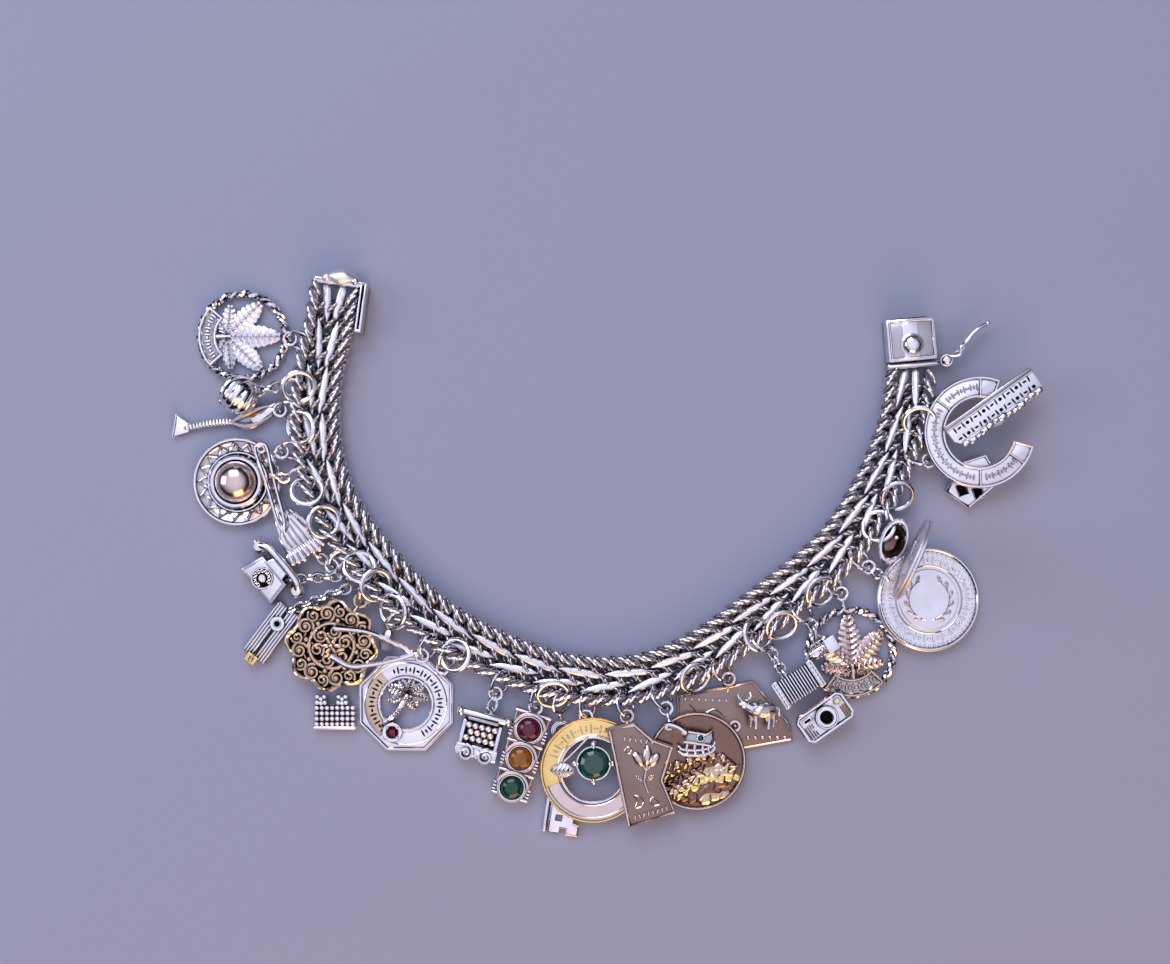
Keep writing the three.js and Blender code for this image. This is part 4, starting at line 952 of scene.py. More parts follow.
def palm_tree():
    """A leaning palm: ringed trunk and drooping fronds of leaflets."""
    trunk = curve_through([(-3.7, -3.5, 0.8), (-1.5, -1.4, 1.0), (0.2, 1.3, 1.1)], 12)
    girth = 0.62 + 0.09 * np.cos(np.linspace(0, 22 * math.pi, len(trunk)))
    forms = [tube(trunk, girth, 10)]
    for angle, length in ((-12, 3.3), (28, 3.0), (72, 2.6), (118, 2.8), (158, 3.4), (200, 3.2),
                          (300, 2.6)):
        droop = -0.5 if abs(angle - 90) > 60 else -0.1
        forms.append(feather(length * 1.12, 0.95, 6, 0.5, 0.4, "polished").turned(8 * droop, "Y")
                     .turned(angle).moved(0.35, 1.7, 0.7))
    forms += [ball(0.36, 10).moved(0.3 + dx, 1.3, 1.25) for dx in (-0.4, 0.1, 0.55)]
    return forms


PALM_STONE = (-2.3, -4.9)


def octagon_palm():
    """Eight-sided frame round a palm tree, with a claw-set stone on its lower edge."""
    corner = 8.25 / math.cos(math.pi / 8)
    eight = [(corner * math.cos(math.pi / 8 + i * math.pi / 4),
              corner * math.sin(math.pi / 8 + i * math.pi / 4)) for i in range(8)]
    hole = arc(4.45, 0, 360, 49)[:-1]
    forms = [plate(eight, 1.0, 0, [hole]).of("frosted"),
             tube(raised([(x * 0.955, y * 0.955) for x, y in eight], 1.05), 0.3, 8, True),
             hoop(4.7, 0.32, 60).moved(0, 0, 1.05), hoop(7.2, 0.12, 60, 6).moved(0, 0, 1.02)]
    forms += palm_tree()
    forms += strokes(6.0, -60, 110, 26, 0.97, 1.5, "ground")
    forms += strokes(6.0, 140, 228, 13, 1.08, 1.4, "ground")
    # This gold arc on the frame's left side is a painted warm reflection on the silver.
    forms.append(plate(arched(7.0, 5.0, 128, 232, 30), 0.2, 0.88, edge=0.05).of("aged_gold"))
    seat_x, seat_y = PALM_STONE
    forms.append(washer(1.75, 1.05, 1.0, 0.9, 32).moved(seat_x, seat_y))
    forms += [ball(0.3, 10).moved(seat_x, seat_y, 2.1).moved(*spot(1.2, a))
              for a in (45, 135, 225, 315)]
    return forms


# ---------------------------------------------------------------------------- middle
def typewriter():
    """Typewriter on its back: platen with knobs, banked round keys, front bar, scroll feet."""
    forms = [block(6.8, 6.8, 2.3, edge=0.3).of("oxidised"),
             tube([(-3.7, 3.9, 2.6), (3.7, 3.9, 2.6)], 0.78, 20),
             block(5.4, 0.5, 0.9, 3.0, 0.1).moved(0, 3.2).of("oxidised"),
             block(7.5, 2.3, 1.2, 1.8, 0.35).moved(0, -2.5),
             block(7.2, 0.35, 0.3, 2.9, 0.1).moved(0, -1.7),
             block(6.0, 4.0, 0.2, 2.2, 0.05).moved(0, 0.9).of("ground")]
    for side in (-1, 1):
        forms.append(ball(1.0, 20).scaled(0.75, 1, 1).moved(side * 4.25, 3.9, 2.6))
        forms.append(drum(0.55, 0.4, -0.2, 16).turned(90, "Y").moved(side * 3.55, 3.9, 2.6)
                     .of("oxidised"))
        forms.append(block(0.7, 4.8, 2.9, 0.2, 0.25).moved(side * 3.15, 0.4))
        forms.append(scroll(1.35, 1.3, 0.45, 90).scaled(side, 1, 1).moved(side * 1.8, -2.9, 2.9))
    for row in range(3):
        for column in range(5 - row % 2):
            x, y = (column - 2 + 0.5 * (row % 2)) * 1.16, 2.0 - row * 1.15
            forms.append(ball(0.58, 14).scaled(1, 1, 0.8).moved(x, y, 3.1 - row * 0.12)
                         .of("frosted"))
            forms.append(tube([(x, y, 2.1), (x, y, 2.9)], 0.18, 5))
    return forms


LAMP_Y = (4.75, -0.5, -5.8)
LAMP_RADIUS = 2.0
LAMP_SEAT = 2.7


def signal_light():
    """Signal light: three lamps in their seats, each under a curved hood, on a ribbed box."""
    forms = [block(6.2, 15.0, 2.2, edge=0.35).of("rosy"),
             block(5.7, 14.4, 0.5, 1.9, 0.2).of("bronzed")]
    for y in LAMP_Y:
        hood = plate(arched(3.05, 2.55, 12, 168), 2.0, 2.1, edge=0.15).moved(0, y)
        forms += [hood.of("rosy"), washer(2.7, LAMP_RADIUS + 0.1, 0.7, 2.2).moved(0, y).of("rosy"),
                  hoop(LAMP_RADIUS + 0.22, 0.2, 40).moved(0, y, 2.95)]
        forms += [ball(0.3, 10).moved(*spot(LAMP_RADIUS + 0.25, a), 3.0).moved(0, y)
                  for a in (225, 315)]
        for side in (-1, 1):
            for step in (-1.7, -1.1, -0.5, 0.1):
                forms.append(block(0.75, 0.34, 2.3, 0.1, 0.1).moved(side * 2.95, y + step))
    for y in (-7.45, -3.2, 2.1, 7.45):
        forms.append(block(6.5, 0.5, 2.6, 0.05, 0.18).moved(0, y))
    return forms


def round_stone(radius, height):
    """A cut round stone, with a table and two rows of facets."""
    return lathe([(0, 0), (radius * 0.97, 0), (radius, height * 0.25),
                  (radius * 0.8, height * 0.68), (radius * 0.56, height * 0.95), (0, height)], 16)


SOLITAIRE = (0.1, 1.3)
SOLITAIRE_RADIUS = 2.8


def solitaire():
    """A large cut stone: a wide table, a crown of facets and a pointed back."""
    r = SOLITAIRE_RADIUS
    return lathe([(0, 0), (r * 0.62, 0.8), (r * 0.96, 1.5), (r, 1.75), (r * 0.82, 2.2),
                  (r * 0.62, 2.48), (0, 2.5)], 12)


def flat_key():
    """Flat key: round bow, double shank and a stepped bit."""
    bit = [(0.3, -17.8), (2.3, -17.8), (2.3, -16.8), (3.5, -16.8), (3.5, -17.8), (5.5, -17.8),
           (5.5, -16.2), (4.5, -15.8), (4.5, -14.9), (5.5, -14.5), (5.5, -13.1), (0.3, -13.1)]
    slot = [(1.3, -15.7), (1.3, -14.6), (2.5, -14.6), (2.5, -15.7)]
    forms = [washer(1.9, 1.0, 0.9), plate(bit, 0.9, 0, [slot], 0.15).of("frosted"),
             tube(raised(bit, 0.85), 0.16, 6, True), hoop(1.45, 0.22, 32).moved(0, 0, 0.95)]
    forms += [block(0.6, 16.6, 0.9, edge=0.2).moved(x, -9.6) for x in (-0.42, 0.42)]
    return forms


def birthstone_ring():
    """Broad ring with a claw-set stone inside it on a thin bar, and a leaf sprig."""
    # The pink on the ring, and the gold band, rim and marks on its upper left, are painted warm
    # reflections on plain silver.
    forms = [washer(9.15, 5.45, 0.9, steps=96).of("rosy"),
             plate(arched(8.75, 5.85, 34, 200, 48), 0.45, 0.72, edge=0.1).of("gilt"),
             hoop(9.0, 0.24, 96).moved(0, 0, 1.0).of("gilt"),
             hoop(8.3, 0.1, 96, 6).moved(0, 0, 0.95), hoop(5.7, 0.26, 80).moved(0, 0, 1.0),
             hoop(6.15, 0.1, 80, 6).moved(0, 0, 1.15)]
    forms += strokes(7.3, 66, 160, 15, 1.16, 1.7, "aged_gold")
    x, y = SOLITAIRE
    forms.append(washer(SOLITAIRE_RADIUS + 0.3, SOLITAIRE_RADIUS - 0.1, 1.2, 0.5).moved(x, y))
    for angle in (0, 90, 180, 270):
        out = SOLITAIRE_RADIUS + 0.5
        forms.append(ball(0.6, 14).moved(out, 0, 1.3).turned(angle).moved(x, y))
        forms.append(tube([(out, 0, 0.5), (out - 0.5, 0, 1.9)], 0.32, 10).turned(angle).moved(x, y))
    stalk = [(-5.9, 0.7, 1.0), (-4.0, 2.6, 1.3), (-2.4, 4.2, 1.3), (-1.0, 5.6, 1.1)]
    forms += [wire(stalk, 0.26), feather(4.2, 1.3, 6, 0.6, 0.35).turned(-3).moved(-7.6, 0.2, 1.1),
              feather(2.4, 0.8, 4, 0.6, 0.3).turned(205).moved(-3.9, 0.4, 1.1)]
    return forms


def blossom_plate():
    """Plate cut to an uneven outline: raised rim, a blossom on its stems, a few lakes."""
    outline = [(-6.2, 8.6), (-2.5, -8.8), (5.9, -6.3), (3.5, -0.5), (5.4, 5.5), (1.8, 6.7),
               (-1.6, 9.6)]
    inset = [(x * 0.93, y * 0.95) for x, y in outline]
    # The plate's brown tone is a painted reflection.
    forms = [plate(outline, 0.8, 0).of("tarnished"),
             tube(raised(inset, 0.85), 0.32, 8, True).of("rosy")]
    for angle, length in ((-38, 3.0), (-4, 3.6), (34, 3.1)):
        bud = ball(1, 14).scaled(0.85, length / 2, 0.6).moved(0, length / 2 + 0.8, 0.85)
        forms.append(bud.turned(angle).moved(0.6, 1.3).of("rosy"))
        forms.append(wire([(0, 0, 0.8), (0.1, 0.7, 1.0), (0, 1.3, 0.9)], 0.2).turned(angle)
                     .moved(0.6, 1.2).of("rosy"))
    forms.append(wire([(0.6, 1.4, 0.9), (0.3, -0.6, 0.95), (0.9, -2.4, 0.85)], 0.22).of("rosy"))
    forms += [feather(2.0, 0.5, 4, 0.4, 0.15, "rosy").turned(a).moved(0.4, -0.7, 0.5)
              for a in (35, 150)]
    lakes = ([(-1.6, -3.1), (-0.9, -4.0), (-1.2, -5.2), (-0.3, -5.0), (0.2, -4.1), (-0.6, -3.2)],
             [(1.3, -4.2), (2.0, -4.8), (2.9, -4.6), (2.4, -3.8), (1.7, -3.4)],
             [(-3.2, 4.6), (-2.6, 5.3), (-1.9, 5.0), (-2.3, 4.2)])
    for lake in lakes:
        path = curve_through([*raised(lake, 0.82), (*lake[0], 0.82)], 4)[:-1]
        forms.append(tube(path, 0.14, 6, True).of("rosy"))
    marks = ball(1, 8).scaled(0.2, 0.62, 0.3)
    for i in range(8):
        lean = 25 * math.sin(i * 2.1)
        forms.append(marks.turned(lean).moved(-1.3 + i * 0.78, -6.9 + i * 0.22, 0.85).of("rosy"))
        if i < 6:
            forms.append(marks.turned(-lean).moved(-3.1 + i * 0.95, 6.7 - i * 0.12, 0.85)
                         .of("rosy"))
    return forms


def medallion():
    """Round medallion: smooth sky over a rolling landscape in high relief."""
    forms = [lathe([(0, 0), (8.3, 0), (8.6, 0.2), (8.6, 1.1), (8.35, 1.32), (8.05, 1.25),
                    (7.9, 1.0), (0, 1.0)], 96).of("bronzed"),
             hoop(8.3, 0.2, 96).moved(0, 0, 1.2).of("rosy")]
    crag_kinds = ("gilt", "aged_gold", "bronzed", "aged_gold", "bronzed")
    for i in range(90):
        along, up = i * 0.618 % 1, i / 90
        x, y = -6.6 + 13.4 * along, -7.2 + 7.4 * up - 0.9 * math.cos(along * 5)
        if math.hypot(x, y) < 7.3:
            size = 0.95 - 0.45 * up + 0.25 * math.sin(i * 2.4)
            crag = ball(1, 12, lambda angle, _radius, _height: 1 + 0.2 * math.sin(3 * angle + i))
            forms.append(crag.scaled(size * 1.8, size * 0.95, 0.45 + 0.2 * math.sin(i))
                         .turned(25 + 40 * math.sin(i * 1.7)).moved(x, y, 1.0)
                         .of(crag_kinds[i % 5]))
    for x, y, size in ((1.2, 0.9, 0.8), (2.8, 1.0, 0.65), (-1.2, 0.2, 0.75), (-3.4, -0.6, 0.65),
                       (4.6, 0.6, 0.6)):
        crown = ball(size, 16, lambda angle, _radius, h: 1 + 0.2 * math.sin(7 * angle + 4 * h))
        forms.append(crown.scaled(1, 1.2, 0.6).moved(x, y, 1.2).of("aged_gold"))
    return forms


def sleigh():
    """Small sleigh: curled body between two runners, with a set stone."""
    body = [(-1.6, -0.4), (3.4, -1.2), (3.9, 1.8), (2.6, 0.9), (-0.8, 1.5)]
    forms = [plate(body, 1.3, 0.3, edge=0.3).of("oxidised"),
             tube(raised([(x * 0.94, y * 0.9) for x, y in body], 1.6), 0.3, 8, True),
             wire([(-0.9, 0.9, 1.0), (-2.6, 2.1, 1.1), (-4.3, 2.5, 1.0), (-4.4, 1.7, 1.0),
                   (-3.7, 1.6, 1.0)], (0.6, 0.5, 0.42, 0.35, 0.25)),
             ball(0.5, 12).moved(1.4, 0.2, 1.55).of("emerald"),
             hoop(0.6, 0.16, 20).moved(1.4, 0.2, 1.6)]
    for y in (-1.9, -2.8):
        forms.append(wire([(-2.3, y + 0.5, 0.6), (-1.6, y, 0.6), (2.0, y, 0.6), (3.6, y + 0.7, 0.6),
                           (3.9, y + 1.3, 0.6)], 0.28))
    forms += [wire([(x, -0.4, 0.9), (x - 0.2, -1.6, 0.8), (x + 0.1, -2.8, 0.6)], 0.22)
              for x in (-0.8, 0.6, 2.0, 3.0)]
    return forms


def dotted_plate():
    """Thin plate cut to an uneven outline: ring boss, rivers and a line of dots."""
    outline = [(-9.9, 3.8), (-9.8, -3.6), (1.5, -5.7), (10.5, -4.1), (10.1, -1.3), (3.5, 6.5),
               (0.1, 5.8)]
    inset = [(x * 0.96, y * 0.94) for x, y in outline]
    forms = [plate(outline, 0.85, 0).of("tarnished"),
             tube(raised(inset, 0.85), 0.17, 6, True).of("rosy"),
             washer(1.1, 0.55, 0.5, 0.7, 28).moved(0.3, -1.5).of("rosy"),
             ball(0.4, 10).moved(0.3, -1.5, 0.9).of("rosy")]
    for x in np.arange(2.6, 9.6, 1.3):
        forms.append(ball(0.36, 10).scaled(1, 1, 0.7).moved(x, -3.5, 0.9).of("rosy"))
    for path in ([(-7.6, 2.2, 0.85), (-5.6, 0.6, 0.9), (-3.2, 1.4, 0.85), (-1.4, 0.2, 0.85)],
                 [(-7.8, -1.9, 0.85), (-5.0, -2.6, 0.9), (-2.4, -1.9, 0.85)],
                 [(2.4, 3.6, 0.85), (3.6, 1.8, 0.9), (5.4, 0.6, 0.85), (7.6, -0.6, 0.85)]):
        forms.append(wire(path, 0.17, 5, 6).of("rosy"))
    dot = ball(0.42, 8).scaled(0.5, 1, 0.5).of("rosy")
    return forms + [dot.moved(-8.4 + i * 1.2, 3.2 - 0.05 * i, 0.85) for i in range(7)]


# ---------------------------------------------------------------------------- right side
def horned_animal():
    """Small horned animal on four legs, with a rough coat."""
    def coat(angle, _radius, height):
        return 1 + 0.1 * math.sin(9 * angle + 5 * height)

    body = ball(1.5, 30, coat).scaled(1, 1, 1.85).turned(90, "Y").scaled(1, 0.95, 0.8)
    forms = [body.moved(0, 0, 1.3).of("oxidised"),
             ball(0.9, 18).scaled(1.35, 0.95, 0.9).moved(-2.95, 0.95, 1.4),
             wire([(-1.6, 0.3, 1.4), (-2.3, 0.7, 1.6), (-2.9, 1.0, 1.5)], (0.95, 0.8, 0.6)),
             wire([(2.5, 0.4, 1.4), (3.1, 0.1, 1.3), (3.15, -0.9, 1.2)], (0.24, 0.18, 0.3))]
    for x, y in ((-1.9, -0.9), (-1.0, -1.2), (1.2, -1.2), (2.1, -0.9)):
        forms.append(wire([(x, y + 0.3, 1.2), (x + 0.15, y - 0.9, 1.1), (x + 0.05, y - 1.95, 1.0)],
                          (0.62, 0.4, 0.32)).of("oxidised" if x in (-1.9, 2.1) else "polished"))
    for side in (-0.4, 0.5):
        forms.append(wire([(-3.1 + side, 1.6, 1.6), (-3.1 + 2.4 * side, 2.3, 1.9),
                           (-3.1 + 2.2 * side, 3.1, 1.7)], (0.32, 0.24, 0.1)))
    return forms


def squeezebox():
    """Squeezebox: folded bellows between two end boards with their keys."""
    forms = [block(6.6, 3.9, 2.4, 0.3).of("ground")]
    for i in range(11):
        x = -2.6 + i * 0.52
        forms.append(block(0.3, 4.4 + 0.3 * (i % 2), 2.9, 0.05, 0.12).moved(x))
    for side in (-1, 1):
        forms.append(block(1.1, 5.2, 3.1, 0.02, 0.25).moved(side * 3.5))
        forms.append(block(0.35, 5.0, 3.3, 0.0, 0.12).moved(side * 3.95))
        forms += [ball(0.28, 8).moved(side * 3.45, -2.0 + i * 0.8, 3.1) for i in range(6)]
    return forms


def engine():
    """Small steam engine: boiler with bands, cab with a roof, chimney, wheels."""
    forms = [block(4.8, 2.0, 0.7, 0.1, 0.15).of("oxidised"),
             tube([(-2.1, 0, 1.5), (0.9, 0, 1.5)], 0.92, 20),
             block(1.6, 2.2, 2.0, 0.6, 0.15).moved(1.5).of("oxidised"),
             block(2.1, 2.6, 0.35, 2.6, 0.12).moved(1.5),
             lathe([(0, 1.9), (0.35, 2.0), (0.35, 2.7), (0.6, 3.15), (0.5, 3.2), (0, 3.1)],
                   20).moved(-1.5),
             ball(0.42, 12).moved(-0.3, 0, 2.4)]
    forms += [hoop(0.95, 0.13, 28, 6).turned(90, "Y").moved(x, 0, 1.5) for x in (-1.9, -1.0, -0.1)]
    for side in (-1, 1):
        for x, size in ((-1.6, 0.55), (-0.2, 0.55), (1.3, 0.75)):
            wheel = (hoop(size, 0.16, 20, 6).turned(90, "X"), ball(0.25, 8))
            forms += [part.moved(x, side * 1.15, 0.75) for part in wheel]
        forms.append(tube([(-1.6, side * 1.25, 0.75), (1.3, side * 1.25, 0.75)], 0.12, 6))
    return forms


def camera():
    """Little camera: rounded body, ringed lens, knobs, a finder and gilt trims."""
    body = [(-4.8, -1.9), (-4.1, -2.6), (4.1, -2.6), (4.8, -1.9), (4.8, 1.9), (4.1, 2.6),
            (-4.1, 2.6), (-4.8, 1.9)]
    forms = [plate(body, 2.2, 0, edge=0.4),
             tube(raised([(x * 0.95, y * 0.93) for x, y in body], 2.1), 0.4, 8, True),
             washer(2.1, 1.15, 1.0, 2.1, 40).moved(0.2), hoop(1.85, 0.2, 40).moved(0.2, 0, 3.05),
             lathe([(0, 2.2), (1.3, 2.2), (1.25, 2.35), (0.9, 2.6), (0, 2.75)], 32).moved(0.2)
             .of("ground"),
             hoop(1.25, 0.16, 32).moved(0.2, 0, 2.8).of("gilt"),
             drum(0.6, 0.5, 2.1, 24).moved(3.3, 1.2),
             hoop(0.5, 0.12, 20).moved(3.3, 1.2, 2.65).of("gilt"),
             block(1.8, 0.9, 0.5, 2.1, 0.12).moved(-2.9, 1.3),
             block(1.2, 0.45, 0.2, 2.5, 0.06).moved(-2.9, 1.3).of("ground")]
    forms += [tube([(-4.0 + i * 0.45, -1.8, 2.25), (-4.0 + i * 0.45, 0.4, 2.25)], 0.13, 6)
              for i in range(4)]
    forms += [tube([(3.2 + i * 0.4, -1.9, 2.25), (3.2 + i * 0.4, 0.1, 2.25)], 0.13, 6).of("gilt")
              for i in range(3)]
    return forms


def bell():
    """Hollow bell with an oval mouth and thick lip, standing on its crown."""
    wall = lathe([(0, 0), (1.9, 0.2), (2.6, 1.2), (3.0, 3.2), (3.9, 4.7), (4.0, 4.9), (3.8, 5.02),
                  (3.45, 4.9), (2.5, 3.4), (2.0, 1.6), (0, 1.2)], 64).of("oxidised")
    lip = hoop(3.6, 0.6, 64).moved(0, 0, 4.7)
    bands = [hoop(2.98, 0.13, 64, 6).moved(0, 0, 3.2), hoop(2.68, 0.13, 64, 6).moved(0, 0, 1.5)]
    # The throat's brown is painted: a reflection of dark surroundings and the shade inside the
    # hollow.
    throat = lathe([(0, 1.25), (1.95, 1.65), (2.42, 3.3), (2.3, 3.35), (1.8, 1.8), (0, 1.4)], 48)
    clapper = wire([(0, 0, 1.3), (0.2, 0.4, 2.6), (0.4, 0.8, 3.6)], (0.16, 0.18, 0.5))
    return [form.scaled(0.58) for form in (wall, lip, *bands, throat.of("bronzed"))] + [clapper]


def rimmed_disc(radius, thick, sunk, rim, steps=96):
    """A disc standing on its back, its face sunk inside a rounded rim."""
    return lathe([(0, 0), (radius - 0.2, 0), (radius, 0.2), (radius, thick - 0.2),
                  (radius - 0.2, thick), (radius - rim + 0.2, thick), (radius - rim, thick - sunk),
                  (0, thick - sunk)], steps)


def coin_on_edge():
    """Coin with a raised rim on both faces, a sprig on each, and a milled edge."""
    half = rimmed_disc(7.3, 0.6, 0.2, 0.45, 110)
    forms = [half, half.scaled(1, 1, -1)]
    for side in (-1, 1):
        forms.append(hoop(5.9, 0.1, 72, 6).moved(0, 0, side * 0.42))
        forms += [feather(3.6, 0.8, 5, 0.15, 0.25).turned(a).scaled(1, 1, side)
                  .moved(0, 0, side * 0.3) for a in range(0, 360, 60)]
    return [form.of("frosted") for form in forms]


def medal():
    """Round medal: dashes inside a raised rim, an inner ring, a laurel round a plain field."""
    forms = [rimmed_disc(9.1, 1.2, 0.25, 0.5, 120).of("frosted"),
             hoop(8.7, 0.24, 120).moved(0, 0, 1.15), hoop(5.9, 0.13, 90, 6).moved(0, 0, 1.0),
             drum(5.3, 0.25, 0.9, 90).of("frosted")]
    forms += strokes(6.9, 0, 352, 52, 1.02, 1.4, "rings")
    dash = ball(1, 8).scaled(0.34, 0.2, 0.2)
    forms += [dash.moved(8.15).turned(i * 6).moved(0, 0, 1.0) for i in range(60)]
    for side in (-1, 1):
        for i in range(6):
            angle = -70 + i * 24
            x, y = spot(3.7, angle)
            leaf = feather(1.5, 0.36, 3, 0.25, 0.12, "frosted").turned(angle + 70).moved(x, y, 1.0)
            forms.append(leaf.scaled(side))
        forms.append(tube(raised([(side * x, y) for x, y in arc(3.6, -80, 62, 20)], 1.12), 0.12, 6))
    return forms


def horseshoe():
    """Horseshoe: frosted panels between raised rims, with plain polished ends."""
    outer, inner = 9.7, 6.0
    forms = [plate(arched(outer, inner, 42, 318, 60), 0.8, 0, edge=0.15).of("frosted")]
    edge = (arc(outer - 0.25, 42, 318, 72), arc(inner + 0.25, 42, 318, 60))
    forms += [tube(raised(line, 0.9), 0.3) for line in edge]
    for angle in (42.5, 62, 116, 244, 298, 317.5):
        ends = [spot(r, angle) for r in (inner + 0.3, outer - 0.3)]
        forms.append(tube(raised(ends, 0.88), 0.24))
    for start, end, count in ((66, 108, 11), (124, 236, 27), (252, 294, 11)):
        forms += strokes(7.85, start, end, count, 0.85, 1.35, "oxidised")
    return forms


def ridge_bar():
    """Long bar: frosted face under a back bar darkened as painted shade on its shadowed side, and a
    lumpy mountain ridge.
    """
    marks = ((0.17, 0.6), (0.42, 0.2), (0.17, 0.55), (0.36, 0.34))
    face = [(-9.2, -0.6), (-8.4, -1.6), (8.8, -1.6), (8.8, 1.7), (-9.2, 1.7)]
    ridge = [(-8.4, -1.4), (-6.8, -2.8), (-3.8, -2.1), (-1.0, -3.0), (2.4, -2.3), (5.8, -2.7),
             (8.4, -1.4)]
    forms = [plate(face, 1.0, 0, edge=0.2).of("frosted"),
             plate(ridge, 1.2, 0, edge=0.3).of("oxidised"),
             # The back bar's darker finish is painted shade on its shadowed side.
             block(18.0, 0.7, 1.2, 0, 0.25).moved(-0.2, 2.1).of("oxidised"),
             tube([(-9.0, 1.6, 1.0), (8.7, 1.6, 1.0)], 0.2)]
    for i in range(13):
        def crags(angle, _radius, height, seed=i * 1.7):
            return 1 + 0.2 * math.sin(4 * angle + seed) * math.cos(2 * height + seed)
        size = 0.66 + 0.2 * math.sin(i * 2.3)
        forms.append(ball(size, 16, crags).scaled(1.2, 0.8, 0.7)
                     .moved(-7.6 + i * 1.27, -1.95 - 0.25 * math.sin(i), 1.1))
    for row in (0.85, -0.75):
        for i in range(19):
            mark = marks[(i * 7 + int(row + 2)) % 4]
            forms.append(ball(1, 8).scaled(*mark, 0.2).turned(8 * math.sin(i))
                         .moved(-8.0 + i * 0.86, row, 1.0).of("ground"))
    return forms


def window_frame():
    """Flat frame with four openings, dark with a painted shadow sheet under them, white edges and
    cross bars.
    """
    outline = [(-4.8, -2.0), (-0.8, -4.8), (4.8, 0), (2.2, 4.6), (-1.4, 3.4)]
    holes = []
    for x, y in ((-1.9, -1.6), (0.9, -2.1), (-0.6, 1.2), (2.3, 1.4)):
        corners = [(-0.85, -0.95), (-0.85, 0.95), (0.85, 0.95), (0.85, -0.95)]
        lean = math.radians(20)
        holes.append([(x + a * math.cos(lean) - b * math.sin(lean),
                       y + a * math.sin(lean) + b * math.cos(lean)) for a, b in corners])
    forms = [plate(outline, 1.6, 0, holes, 0.15).of("frosted"),
             # This black sheet under the openings is painted shadow.
             plate([(x * 0.9, y * 0.9) for x, y in outline], 0.3, 0.05).of("ground"),
             tube(raised([(x * 0.96, y * 0.95) for x, y in outline], 1.6), 0.28, 8, True)]
    forms += [tube(raised(hole, 1.6), 0.15, 6, True) for hole in holes]
    return forms


# ---------------------------------------------------------------------------- clasp
BOX_PLACE = Place((52.9, 36.8, 0.1), 5)
TONGUE_PLACE = Place((-46.35, 46.8, 0.0), -7.4)
CATCH_EYE = (5.97, -4.04)
PIN_RADIUS = 0.4
CATCH_PLACE = Place((59.1994, 33.2957, 2.4), 42)
BAR_LOW = 0.9


def clasp_box():
    """Box half: polished case with a sunk satin band, push button, bar and catch eye."""
    forms = [block(8.5, 7.4, 4.2, 0.0, 0.3), block(7.2, 6.2, 0.12, 4.13, 0.04).of("oxidised"),
             block(2.6, 6.0, 0.1, 4.18, 0.03).moved(-0.2),
             block(6.0, 5.8, 2.0, 1.1, 0.1).moved(0, 1.0).of("ground")]
    for x in (-3.7, 3.7):
        forms.append(tube([(x, -3.2, 4.25), (x, 3.2, 4.25)], 0.18))
    forms += [tube([(-3.7, y, 4.25), (3.7, y, 4.25)], 0.18) for y in (-3.2, 3.2)]
    forms.append(lathe([(0, 4.1), (2.0, 4.15), (2.0, 4.3), (1.7, 4.42), (1.6, 4.7), (1.2, 5.05),
                        (0.6, 5.22), (0, 5.26)], 40).moved(0, -0.9))
    forms += [block(9.0, 1.0, 2.4, BAR_LOW, 0.3).moved(0, -4.4).of("oxidised"),
              block(8.6, 0.4, 0.3, BAR_LOW + 2.2, 0.1).moved(0, -4.4)]
    x, y = CATCH_EYE
    forms += [block(2.2, 0.8, 0.6, BAR_LOW, 0.15).moved(5.0, -4.2),
              drum(0.9, 0.6, BAR_LOW, 24).moved(x, y), drum(PIN_RADIUS, 2.2, 1.2, 20).moved(x, y),
              ball(0.8, 20).scaled(1, 1, 0.45).moved(x, y, 3.5)]
    return forms


def clasp_tongue():
    """Tongue half: end bar, knobbly thumb tab and a folded spring plate on its edge."""
    def lumps(angle, _radius, height):
        return 1 + 0.07 * math.sin(4 * angle + 2 * height)

    forms = [block(9.4, 1.1, 3.0, 0.5, 0.3),
             block(8.6, 0.3, 0.3, 3.3, 0.1).moved(0, 0.2).of("oxidised"),
             ball(1.75, 36, lumps).scaled(1.5, 0.85, 0.95).moved(0, 0.9, 2.6).of("frosted"),
             ball(0.9, 20).moved(-2.5, 0.6, 3.1).of("frosted"), ball(0.8, 20).moved(2.5, 0.5, 3.1)]
    forms += [block(0.34, 8.4, 5.0, 0.15, 0.12).moved(x, -4.2) for x in (3.95, 4.65)]
    return forms + [block(1.0, 0.5, 5.0, 0.15, 0.15).moved(4.3, -8.1),
                    block(0.5, 7.6, 4.2, 0.3, 0.05).moved(4.3, -4.2).of("ground")]


def safety_catch():
    """Figure-of-eight catch: collar on the pin, two bent wires and a rounded end."""
    forms = [washer(1.15, PIN_RADIUS + 0.3, 0.9, -0.45, 32)]
    for side in (-1, 1):
        bends = [(0.95, 0, 0.2 * side), (2.3, -0.5 - 0.35 * side, 0.55 * side),
                 (3.4, -0.3 + 0.3 * side, 0.5 * side), (4.6, 0, 0.35 * side),
                 (6.4, 0.35, 0.3 * side), (8.2, 0.3, 0.25 * side), (9.6, 0, 0)]
        forms.append(wire(bends, 0.3, 8, 10))
    return forms + [ball(0.45, 14).moved(9.8)]


# ---------------------------------------------------------------------------- geometry nodes
def node_group(name, **inputs):
    """A geometry node tree with an input of a kind for each name, and its route."""
    tree = bpy.data.node_groups.new(name, "GeometryNodeTree")
    tree.interface.new_socket("Geometry", in_out="INPUT", socket_type="NodeSocketGeometry")
    tree.interface.new_socket("Geometry", in_out="OUTPUT", socket_type="NodeSocketGeometry")
    for label, kind in inputs.items():
        tree.interface.new_socket(label.replace("_", " "), in_out="INPUT",
                                  socket_type="NodeSocket" + kind)
    return tree, tree.nodes.new("NodeGroupInput").outputs


